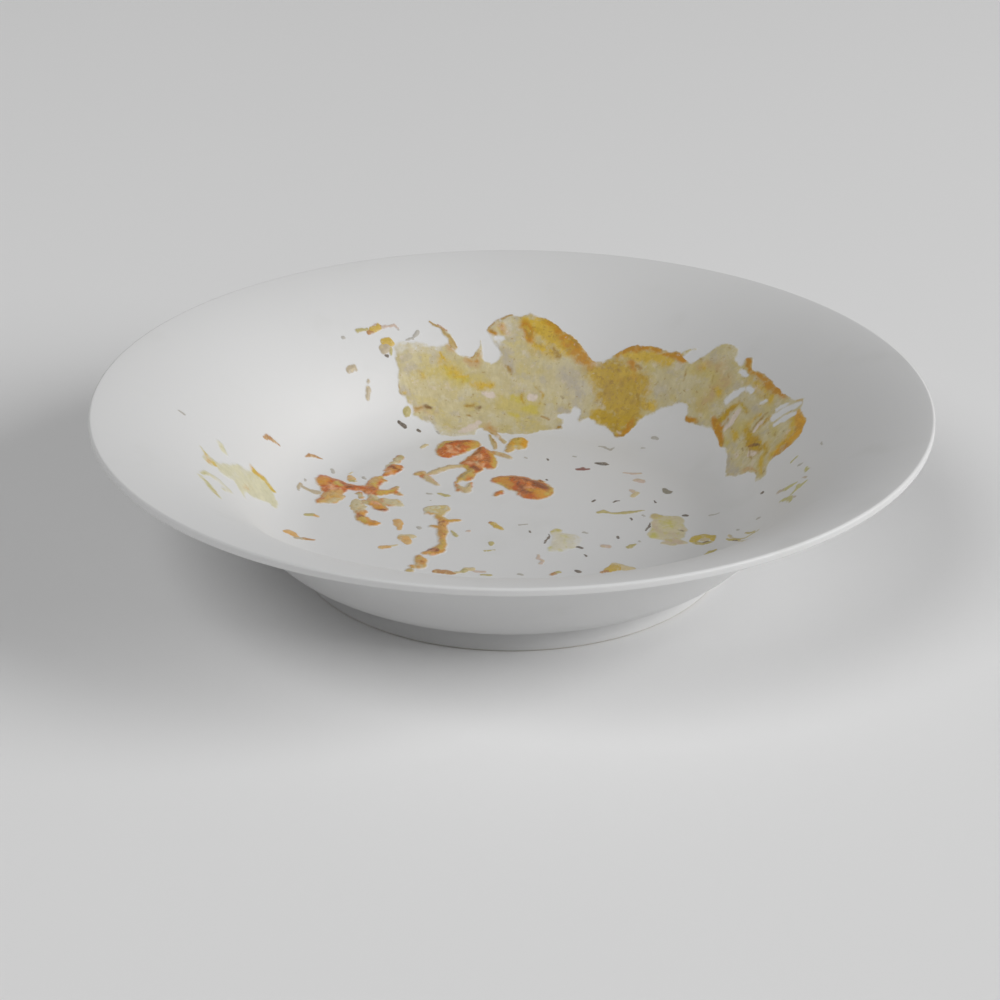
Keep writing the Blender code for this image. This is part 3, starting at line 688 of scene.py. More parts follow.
            (1, 2.4, (65, 95, 61, 95, 57.6, 95.8, 53.4, 95.6), (2.6, 4, 3.6, 3.2)),
            (1, 1.8, (55.6, 84.4, 52.6, 84.2), (3, 2.8)), (0.9, 1.4, (67.6, 77.2, 64.6, 76.6), (1.6, 2)),
            (0.6, 1.6, (45.6, 97.4, 44.4, 96.6), 2.2),
            (0.8, 3, (32, 99, 28, 98, 23.6, 97.4), (3, 3.6, 3.8)), (0.7, 2, (27, 86.4, 25, 85.6), 2.4),
            (0.9, 2.4, (13, 97.4, 10, 95.6, 9.2, 92.6, 9.2, 88.6), (3, 4, 3.4, 3.2)),
            (0.7, 1.6, (12, 86.6, 10.4, 85.4, 7, 84.6), (2, 2.2, 1.8)),
            (0.8, 1.4, (22.8, 92.6, 24.2, 89.6), (1.4, 1.6)), (0.5, 1.2, (111.4, 89.4, 110.8, 88), 1.4),
        ),
        'yellow': (
            (0.9, 1.8, (105.4, 90, 104, 88), (2, 3)), (0.9, 1.6, (102.4, 87, 100.8, 86.6), 2.2),
            (1, 1.6, (89.4, 81.8, 87.8, 81), 2.2), (1, 1.8, (86, 78.6, 83.4, 78), (2.2, 2.6)),
            (0.8, 1.6, (89.8, 76.4, 88, 75.8), 1.8), (0.8, 1.2, (29.8, 92.1, 27.6, 91.6), 1.3),
            (0.6, 1.6, (28.4, 83.6, 26.4, 83.6), 1.4),
        ),
        'mustard': (
            (0.6, 0.8, (86.4, 84, 87.2, 82, 86.2, 80), (0.8, 1.2, 0.9)),
            (0.6, 0.8, (83.6, 84.6, 81.6, 82.8, 82.4, 80.2), (0.7, 1.1, 0.9)),
            (1, 5, (69.6, 89.6, 65.6, 88.4, 61.8, 86, 58, 79), (6, 14, 19.4, 10)),
            (0.9, 2.6, (67, 79, 62.4, 78, 59.4, 76), (4, 7, 6)), (0.7, 1.6, (65, 92.6, 63, 92), 2),
            (0.7, 1.6, (29.4, 92.2, 27, 91.4), 1.6),
            (1, 1.4, (30.8, 92.2, 32, 89.6, 32.8, 86.6), (1.6, 2.4, 2.4)),
            (0.9, 2.2, (23, 88, 19.6, 87, 15.6, 87.2), (3.2, 5.2, 4.8)),
            (0.8, 1.4, (19.6, 93.4, 20.4, 90.4), (1.4, 1.6)), (0.7, 1.8, (14.6, 88.6, 12, 88), 2.6),
            (0.5, 1.4, (86.4, 104, 84, 103.6), 1), (0.6, 1.2, (58.6, 72.4, 57.6, 71.8), 1.8),
        ),
        'orange': (
            (0.6, 0.9, (99.6, 91, 97.6, 90.6, 96.9, 93), (0.9, 1.2, 0.7)),
            (0.6, 0.9, (73.4, 93.4, 71.4, 91), 1.4), (0.5, 1.4, (96, 69.6, 95, 67.2), (2.4, 2)),
            (1, 3, (82, 101.8, 79.4, 98.7, 76.6, 95.8, 73.8, 93, 71.4, 90.6), (1.4, 3, 4.8, 5, 3)),
            (1, 1.8, (86.8, 100.6, 85.8, 98.8, 85.6, 96), (3, 4, 1.8)),
            (1, 1.8, (65.8, 94.6, 63.6, 96.6, 60, 97.5, 56.6, 97.7), (1.4, 2.4, 2.2, 1.8)),
            (1, 1.2, (55, 97.4, 52, 97.6, 50.6, 97), (2, 2.8, 2.6)), (0.8, 1.4, (62, 93, 60.4, 91.4), 2.2),
            (0.9, 1.8, (56.6, 79, 56.4, 75.6, 57.4, 72.6), (2, 3, 2.2)),
            (0.9, 1, (42.4, 84.2, 39.4, 84.6), 1.8),
            (0.9, 1, (36.6, 103.8, 35.4, 102.4, 34, 101), (1.4, 2.4, 1.6)),
            (0.9, 1, (91.8, 100.2, 91.2, 98.4), 1.5),
            (1, 1.4, (34.6, 86.4, 32.6, 85.4, 30.6, 84.4, 28.2, 82.8), (2, 3.2, 2.8, 1.8)),
            (1, 2.2, (33.8, 101, 30, 100.8, 25.6, 100, 20.6, 99.9), (1.6, 2.6, 2.8, 1.4)),
            (0.8, 1.2, (7.2, 94.6, 6.9, 91.8, 7.8, 89), (2.2, 2.6, 2)),
            (0.6, 0.8, (14.4, 82.5, 12, 83.3, 9.6, 84), 0.8),
            (0.6, 0.8, (17.2, 101, 16.2, 102.4, 15, 101.4), (0.7, 1, 0.7)),
            (0.5, 0.9, (30.8, 88, 30.9, 86), 1.3), (0.9, 1.2, (94.6, 99.2, 93.6, 98), 1.4),
        ),
        'umber': (
            (0.7, 1, (96, 66, 95.6, 58), 1.2),
            (0.8, 0.7, (83.4, 103.8, 81, 101.6, 78.4, 99.2, 75, 95.8), 0.7),
            (0.6, 0.6, (65.6, 95.4, 63, 97.5, 58, 98.4, 51, 98), 0.5),
            (0.6, 0.6, (33, 102, 28, 101.6, 21, 100.6), 0.4), (0.6, 0.6, (46.2, 98.5), 1),
            (0.6, 0.6, (104.6, 76, 103.8, 76), 0.6), (0.6, 0.6, (101.8, 76.5, 100.4, 75.5), 0.6),
            (0.6, 0.8, (60.4, 72.8, 58, 71.4, 56.6, 73.4), 0.9), (0.6, 0.8, (36, 102.9, 34.8, 101.9), 1.1),
            (0.6, 1.6, (86.4, 99.6, 85.8, 98), (1.8, 2.4)), (0.9, 1.3, (80.2, 94.2, 79.2, 92), (1.6, 2.2)),
            (0.6, 0.9, (94.4, 99.2, 93.6, 98.6), 1.1), (0.6, 0.9, (114.8, 80.7, 113.2, 80.8), 1),
            (0.8, 0.9, (76, 71, 75, 71.4), 1.6),
            (0.7, 0.9, (21.3, 94, 21.9, 91.2, 21.9, 88.6), (0.7, 1, 0.7)),
            (0.6, 0.7, (18.2, 85.6, 16.4, 84.6, 15, 84.6), 0.9), (0.5, 1, (96.4, 66, 96.4, 63), 1.8),
            (1, 0.8, (64.2, 90.5), 1.4), (0.9, 0.8, (65.2, 87.5), 1.3), (1, 0.9, (60, 92.4, 59.6, 92.1), 2),
            (0.5, 0.8, (48.4, 95, 48, 92), 0.8), (0.5, 0.7, (41.4, 95.6, 40.6, 94), 0.9),
            (0.5, 0.7, (38.4, 98, 37.6, 96.8), 0.8), (0.7, 1.2, (101.8, 79.9, 99.6, 79.6), (1.6, 2)),
            (0.7, 1.2, (90.9, 88.9, 89.9, 88.1), 1.8), (0.5, 0.6, (42, 101.4), 0.8),
            (0.5, 0.6, (43.6, 99.4), 0.7), (0.5, 0.6, (41, 98.6), 0.7),
        ),
        'bright': (
            (1, 1.6, (13.6, 99.4, 10.4, 98.5, 8, 96.6, 7.6, 94), (1.8, 3.4, 3.8, 2.8)),
            (0.8, 1.6, (8.4, 92.6, 8.4, 89.6), 2.4),
        ),
        'edge': (
            (1, 0.5, (106.6, 102.9, 104.8, 101, 103, 97.4, 100.8, 92.6, 98.6, 91.8, 97.4, 92.8), 0.8),
            (1, 0.5, (95.2, 99, 94, 100.8, 92, 102.8, 89.6, 103.8), 0.9),
            (0.7, 0.5, (116.6, 93, 117.4, 88.6, 117.4, 85), 0.5), (0.8, 0.6, (81.4, 75.6, 79, 74.4), 1),
        ),
        'brown': (
            (0.8, 1.2, (112.1, 80.8, 111.1, 80.4), (2, 1.8)), (0.6, 1.2, (98.9, 78.5, 98.1, 78.9), 1.9),
            (0.5, 0.6, (77, 82.7, 76.4, 82.4), 0.8), (0.5, 0.6, (20.4, 84.6, 19.6, 84.4), 0.8),
            (0.5, 0.6, (7, 85.2, 6.6, 84.8), 0.8),
            (1, 0.6, (19, 85.8, 17.6, 87, 16, 87.6), (0.7, 1.3, 0.7)), (0.4, 0.7, (34.8, 102.5), 0.8),
        ),
    },
}

layFood("wall_smear", smear, unrollWall, rollUpWall)


# Flat patches of cream and sauce. From here on the places are x, y, and settle moves those in the well.
leftPatch = {
    **filmBasics, 'slot': "pale_sauce", 'nodes': ("sauce_patch",), 'grid': (-103.0, -75.0, -46.0, 14.0),
    'cell': 0.3, 'stray': 0.3, 'film': 0.14, 'fade': 2.4, 'spread': 0.7, 'soft': 1.6,
    'outline': (
        (-87, 9.8), (-84.6, 9.8), (-82.6, 11.2), (-80.4, 9.6), (-78.8, 8), (-79.4, 6), (-77.9, 3),
        (-77.4, -2.6), (-80.2, -2), (-82.4, -4.6), (-84.6, -8), (-86.2, -9), (-86.4, -12), (-85.8, -16.4),
        (-88, -14.6), (-89.8, -11), (-91.4, -13.4), (-93.6, -14.8), (-95.2, -12.6), (-96.8, -15.4),
        (-98.8, -13.4), (-99.2, -9.6), (-100.5, -6.6), (-98.4, -8.6), (-95, -8.4), (-92.4, -3), (-90.6, 2),
        (-88, 4.4), (-86.6, 7),
    ),
    'strokes': (
        ((-97.8, -28.5, -96.4, -24.2, -93.5, -22.8, -90.2, -24, -90.8, -28), (1.2, 2, 3.2, 3.4, 1.6)),
        ((-97.6, -31.5, -95.6, -33.8, -93.6, -37, -91.8, -41, -90.2, -43), (1.4, 2, 2.4, 2.4, 1)),
        ((-95.8, 5.4, -94.4, 2.2), 2.2),
    ),
    'lifts': {'gold': 0.25, 'orange': 0.3},
    'tones': {
        'first': (0.60, 0.57, 0.40), 'second': (0.56, 0.535, 0.37), 'thin': (0.61, 0.59, 0.50),
        'olive': (0.46, 0.42, 0.18), 'gold': (0.55, 0.385, 0.04), 'orange': (0.56, 0.29, 0.05),
        'edge': (0.50, 0.46, 0.28),
    },
    'flecks': (('olive', 1.2, 0.58, 0.68, 0.35, None), ('thin', 2.6, 0.50, 0.62, 0.5, None)),
    'spots': {
        'gold': (
            (1, 0.9, (-86.6, 8.6, -84.2, 9, -82.6, 10, -80.6, 8.6, -79.2, 7.6), (2.4, 2.8, 2.6, 2.6, 1.8)),
            (0.6, 1.6, (-100, -7.6, -98.4, -11, -95.6, -12.6), (1.4, 2.6, 2)),
            (0.4, 2, (-85.4, -2, -86.4, -6), 1.6),
        ),
        'orange': (
            (0.9, 0.8, (-87, 10, -86.6, 8.6), (0.9, 0.7)), (0.8, 0.8, (-84.8, 8.8, -83.6, 10.6), 0.9),
            (0.5, 1, (-86.2, -5, -87, -8.5), (0.8, 1)), (0.6, 1.2, (-98.6, -10.4, -97.2, -14), (1, 1.4)),
            (0.7, 0.8, (-92.4, -38), 1.2), (0.5, 0.8, (-91.6, -41.4), 1.2),
        ),
        'olive': (
            (0.9, 0.8, (-79.4, 8, -78.8, 7.6), 0.9), (0.6, 1, (-86.4, 8.2, -84.8, 8), 1),
            (0.6, 1, (-100.2, -7.2), 1.2), (0.7, 1, (-96.8, -25.6, -97.8, -28.6), 1.2),
            (0.9, 1, (-96, -33.4, -93.4, -37.6, -91, -42.4), 1.6), (0.5, 1, (-95.2, 4.2), 2),
            (0.4, 1, (-78, -1), 1.6),
        ),
        'thin': ((0.8, 2, (-93, -23.4, -90.4, -26), 2),),
    },
}

rightCream = {
    **filmBasics, 'slot': "cream_sauce", 'nodes': ("cream_patch_right",), 'grid': (42.0, 60.0, -25.0, 4.0),
    'cell': 0.3, 'stray': 0.3, 'film': 0.16,
    'outline': (
        (46, -1), (45.6, 1), (46.4, 3.4), (48.4, 4.1), (50, 2.8), (52, 2.2), (55.6, 2.2), (57, 0),
        (57.1, -5), (57.8, -8), (56.8, -10.4), (56.4, -13.6), (55.8, -15.4), (57.4, -17.4), (56, -18.6),
        (54, -18.4), (52.4, -20), (50.4, -18.8), (48.2, -18), (49.4, -16), (47.5, -14.7), (45.2, -13.8),
        (44.6, -11.4), (45.5, -8), (45.9, -4),
    ),
    'lifts': {'olive': 0.15, 'brown': 0.2},
    'tones': {
        'first': (0.58, 0.52, 0.34), 'second': (0.55, 0.49, 0.31), 'thin': (0.60, 0.57, 0.47),
        'tan': (0.52, 0.42, 0.30), 'green': (0.52, 0.47, 0.13), 'olive': (0.46, 0.37, 0.07),
        'edge': (0.44, 0.38, 0.2), 'brown': (0.17, 0.13, 0.07),
    },
    'flecks': (('tan', 2.2, 0.54, 0.64, 0.5, None), ('green', 1.2, 0.54, 0.64, 0.5, None)),
    'spots': {
        'olive': ((1, 1.6, (47.6, 2, 48.6, 1.6), (3.4, 3)), (0.4, 1.6, (57, -15.6), 2),),
        'green': (
            (0.7, 3, (51.4, -2.4, 52, -5.4), (4, 4.4)), (0.9, 1.4, (46.4, -12, 46.8, -13), (2.8, 2)),
        ),
        'tan': (
            (0.6, 2, (47.4, -2, 47.4, -8), 2.4), (1, 1.6, (51, -16.6, 54, -17.2), (3.4, 3)),
            (0.9, 1, (56.6, -8.4), 2.4), (0.6, 1, (48.8, -17.8, 50, -17.6), 1.2),
        ),
        'thin': ((0.5, 2, (53, -14, 50, -15), (3, 2)),),
        'brown': ((0.8, 0.6, (50.2, 2.4), 0.9), (0.8, 0.7, (54.9, -8.8, 56.2, -9.2), (0.8, 1.1)),),
    },
}

middleCream = {
    **filmBasics, 'slot': "cream_sauce", 'nodes': ("cream_patch_middle",), 'grid': (9.0, 25.0, -29.0, -7.0),
    'cell': 0.3, 'stray': 0.3, 'film': 0.14, 'fade': 2.6,
    'outline': (
        (13.2, -12), (13, -9), (14.4, -7.2), (16.4, -8.2), (16.6, -10.6), (20, -11.2), (22.6, -13.6),
        (22.5, -17), (21.2, -20.5), (18.8, -22), (16.5, -24), (13.2, -24.2), (11.6, -23), (12.2, -19),
        (12.9, -15.5),
    ),
    'lifts': {'olive': 0.1},
    'tones': {
        'first': (0.615, 0.575, 0.46), 'second': (0.59, 0.55, 0.42), 'thin': (0.62, 0.60, 0.54),
        'green': (0.54, 0.50, 0.20), 'olive': (0.48, 0.41, 0.13), 'edge': (0.50, 0.46, 0.29),
    },
    'flecks': (('green', 1.4, 0.54, 0.64, 0.5, None), ('thin', 2.4, 0.48, 0.58, 0.6, None)),
    'spots': {
        'olive': ((1, 1.4, (14.2, -9, 15, -8.6), (2.6, 2.4)), (0.6, 0.8, (16.6, -9), 1.2),),
        'green': (
            (1, 1.2, (12.3, -20.4, 12, -22.6), (1.2, 1.6)),
            (0.7, 1.2, (17.6, -12.6, 17.4, -18), (0.7, 0.9)),
        ),
        'thin': ((0.8, 2.5, (21, -13, 21.4, -18), 2.5),),
    },
}

layFood("left_patch", leftPatch)
layFood("cream_right", rightCream)
layFood("cream_middle", middleCream)


# Soft lumps of tomato, with an oily rim that thins out on the glaze. Their 'light' tone is a painted
# highlight: paler pink patches that stand for the wet sheen.
tomatoBasics = {
    **filmBasics, 'slot': "tomato", 'cell': 0.3, 'stray': 0.35, 'cloud': 1.4, 'grit': 0.6, 'mottle': 0.2,
    'gloss': 0.36, 'relief': 0.16, 'film': 0.12, 'rim': 1.0, 'height': 0.9, 'crown': 3.4, 'lump': 1.5,
    'lumpy': 0.45, 'bevel': 0.34, 'edgeLine': 1.9, 'edgeShare': 0.75, 'spread': 0.85, 'soft': 1.7,
    'sheer': 0.25, 'wear': 2.2, 'tear': 1.0, 'fray': 2.2, 'streaks': 0.08, 'drag': (0.8, 0.8),
    # the painted highlight patches ('light') are also raised a little
    'lifts': {'light': 0.12, 'dark': -0.1},
    'tones': {
        'first': (0.45, 0.10, 0.008), 'second': (0.53, 0.165, 0.022), 'thin': (0.60, 0.47, 0.30),
        'edge': (0.54, 0.36, 0.13), 'orange': (0.55, 0.255, 0.03), 'tan': (0.54, 0.35, 0.12),
        'stem': (0.52, 0.40, 0.21), 'oil': (0.51, 0.34, 0.06), 'olive': (0.42, 0.33, 0.14),
        # 'light' is a painted highlight colour, a pale pink for the sheen on wet tomato
        'light': (0.66, 0.33, 0.16), 'dark': (0.22, 0.06, 0.010), 'pale': (0.53, 0.455, 0.27),
    },
    'blotches': (
        # the 'light' blotches are painted highlights spread by noise; 'orange' and 'dark' are the flesh's
        # own uneven tone
        ('orange', 1.5, 0.56, 0.66, 0.5), ('light', 0.9, 0.58, 0.66, 0.6), ('dark', 0.9, 0.56, 0.65, 0.6),
    ),
    'flecks': (
        ('olive', 1.0, 0.55, 0.64, 0.7, 'pale'), ('tan', 1.8, 0.52, 0.62, 0.7, 'pale'),
        ('olive', 1.0, 0.56, 0.64, 0.6, 'stem'), ('orange', 1.6, 0.54, 0.64, 0.6, 'tan'),
        ('olive', 0.9, 0.58, 0.66, 0.5, 'tan'), ('orange', 1.2, 0.56, 0.66, 0.5, 'oil'),
    ),
}

tomatoLeft = {
    **tomatoBasics, 'nodes': ("tomato_left",), 'grid': (-30.0, -7.0, 42.0, 63.0),
    'outline': (
        (-26.2, 51.6), (-26.4, 55), (-25, 59), (-23, 61.6), (-19, 62.4), (-15, 62.8), (-12.2, 61.6),
        (-10.8, 59.4), (-11.2, 57), (-13.2, 55), (-15, 52.6), (-17.4, 50.8), (-19.6, 49), (-22.5, 48),
        (-25, 49.4),
    ),
    'spots': {
        'dark': (
            (0.7, 1.4, (-22, 58, -19, 59.2, -15.4, 60), (1.2, 1.6, 1.4)),
            (0.5, 1.4, (-18.4, 57, -17.4, 54), (1.6, 1.4)),
        ),
        # painted highlights: where the wet tomato catches the light
        'light': (
            (1, 1.2, (-21.8, 56, -20.6, 52.6), (1.6, 1.4)), (0.8, 1, (-18.8, 55.4, -18, 53), (1.2, 1)),
            (0.7, 1.4, (-21.4, 51.4, -19, 50.8), 1.8),
        ),
        'orange': ((0.9, 1.6, (-15.4, 57.6, -13, 58.4), (3, 2.6)),),
        'oil': (
            (1, 1.4, (-25.4, 56, -23.6, 59.6, -20, 61), (1.6, 2.2, 1.6)),
            (1, 1.6, (-13, 61, -11.6, 59.6, -12.2, 56.4, -14.6, 53.6), (1.6, 2.4, 2, 1.4)),
        ),
        'olive': ((0.6, 1, (-26.2, 53, -25.8, 56.4), 1),),
    },
}

tomatoMiddle = {
    **tomatoBasics, 'nodes': ("tomato_middle",), 'grid': (-36.0, 3.0, 15.0, 58.0),
    'outline': (
        (-10, 57), (-8.2, 55), (-6.4, 52), (-5.3, 48), (-4.8, 44), (-4.9, 41), (-6.2, 38.8), (-7.6, 38.5),
        (-9.4, 39.4), (-9.8, 37), (-11.4, 35), (-12.4, 33), (-13.2, 30.6), (-14.6, 29), (-16.4, 29),
        (-18.2, 27.8), (-18.2, 31), (-16.6, 34), (-15.2, 37), (-15.6, 39), (-17.4, 40), (-17.4, 43),
        (-15.6, 46.5), (-13.6, 50), (-12.2, 53), (-11.2, 56),
    ),
    'strokes': (
        ((-16.6, 40.8, -21, 40.2, -24, 38.2, -26, 36, -28.8, 33.8), (2.4, 2.4, 2.8, 2.2, 1.4)),
        ((-32.4, 34, -30.8, 35, -28.8, 31.2, -26.6, 28, -25, 25.4), (1.6, 3.6, 2.6, 1.8, 0.9)),
        ((-18.6, 28, -18.2, 25.6, -17, 22, -15.2, 21.4, -14.2, 24, -13.6, 27.4),
         (0.8, 1, 3.2, 3.4, 1.8, 0.9)),
        ((-5.8, 52, -3.4, 50.4, -0.4, 47.4), (2.6, 3, 2)),
    ),
    'spots': {
        'dark': (
            (0.7, 1.2, (-10.6, 56, -11.2, 52.4, -13, 49.4), (1.6, 1.8, 1.2)),
            (0.8, 1.2, (-12.8, 38.8, -11.4, 37.4), 2.2), (0.6, 1.4, (-8.4, 48, -7.4, 43), (1.4, 1.2)),
            (0.4, 1.2, (-16.4, 32.4, -17.6, 30), 1.4),
        ),
        # painted highlights: where the wet tomato catches the light
        'light': (
            (1, 1.4, (-11.6, 49, -10.6, 46), (1.8, 1.6)), (0.9, 1.2, (-15, 43, -13.6, 41), (1.6, 1.4)),
            (0.8, 1, (-10, 39.6, -9.6, 41), 1.2),
        ),
        'pale': ((0.5, 1.4, (-12.4, 42.4, -11.2, 40.6), (1.6, 1.4)),),
        'orange': (
            (0.9, 1.6, (-7, 52, -6, 46, -6, 41), (2, 2, 1.8)), (0.7, 1.2, (-31, 35.4, -29.6, 33), 1.6),
        ),
        'oil': (
            (1, 1.2, (-5.6, 50, -5.2, 44, -5.6, 40.4), (1, 1.3, 1.1)),
            (1, 1.6, (-15.8, 39.4, -13.8, 34, -16.6, 31, -18, 28.6), (2.2, 3.4, 2.6, 1.6)),
        ),
        'olive': (
            (0.7, 1, (-18.4, 27.4, -18.6, 25), 1), (0.9, 1.6, (-13.6, 36, -16.2, 31.4), (1.6, 2.4)),
            (0.6, 1, (-17, 20.4, -16, 20), 1.4), (0.6, 1, (-33.2, 33.2), 1.6), (0.6, 1, (-6.4, 38.6), 1.2),
        ),
        'stem': (
            (1, 1.4, (-18, 40.6, -23, 39, -28.6, 34), (2.8, 3.6, 2.4)),
            (1, 1.4, (-28.8, 31, -25, 25), (3, 2.4)),
            (1, 1.4, (-15.4, 27, -16, 24, -15, 21.6), (3, 4, 4.6)),
            (0.9, 1.6, (-4, 50.6, -1, 47.4), (2.8, 3)),
        ),
        'tan': (
            (0.8, 1.4, (-21, 39.6, -17, 40.8), 1.2), (0.9, 1.4, (-31.6, 34.6, -30, 35.6), 3),
            (0.7, 1.2, (-27.4, 29.6, -26, 27), 1), (0.9, 1.6, (-5.6, 52, -3.8, 50.8), (3, 2)),
        ),
    },
}

tomatoBean = {
    **tomatoBasics, 'nodes': ("tomato_bean",), 'grid': (-9.0, 17.0, 9.0, 34.0),
    'height': 1.3, 'crown': 4.6,
    'outline': (
        (-6.6, 30.4), (-5, 31.8), (-2, 32.6), (1, 33), (4, 32.2), (7, 30.3), (10, 28.4), (12.5, 26),
        (14.3, 23), (14.5, 20), (13.2, 17), (10.6, 15), (8, 14.6), (4.5, 15.4), (2.7, 17.8), (1.8, 20.4),
        (-0.6, 22.5), (-3, 25), (-5, 27.2), (-6.8, 28.8),
    ),
    'strokes': (
        ((9.8, 28.6, 10.8, 28.2), (1.8, 1.5)), ((-5.2, 17.8, -3.8, 19.4, -3, 21), (1.6, 2.8, 1.2)),
    ),
    'spots': {
        'dark': (
            (0.7, 2, (0.6, 29, 5, 28, 9.4, 25.4), (2.4, 3.2, 3.4)),
            (1, 1.4, (9.2, 24.4, 11.4, 22.4), (3.4, 4)), (0.8, 1, (2.6, 25.6, 2.4, 23.4), (1, 1.2)),
            (0.9, 1.2, (3.4, 22.4, 3.8, 20, 5.2, 18, 7, 17.8), (1.6, 1.6, 1.4, 1)),
            (0.8, 0.7, (10.4, 28.5), 1.6), (0.4, 1, (-4.6, 18), 1.4),
        ),
        # painted highlights: where the wet tomato catches the light
        'light': (
            (0.8, 1.2, (3.2, 21.4, 6.8, 21.6), (1.2, 1.6)), (0.5, 1.4, (4, 26.8, 7.6, 26), (1.4, 1.2)),
        ),
        'orange': (
            (1, 1.8, (6.4, 19.4, 10, 18), (2.6, 4)), (0.8, 2, (-4.6, 29.4, -1, 29.6), 3.4),
            (1, 1.4, (-3, 27.4, 0, 24.6), 2),
        ),
        'oil': (
            (1, 1.2, (12.8, 24.6, 13.7, 21, 12.6, 17.8), (1, 1.8, 1.6)),
            (1, 1.2, (-4.6, 26.6, -2, 23.6, 1.6, 19.6), (1.2, 1.4, 1)), (0.9, 1, (-3, 20.8), 1.4),
        ),
        'olive': ((0.7, 0.9, (7.6, 30.4, 11.6, 27.4), 0.9), (0.5, 0.9, (1, 33, 4.4, 32.2), 0.9),),
    },
}

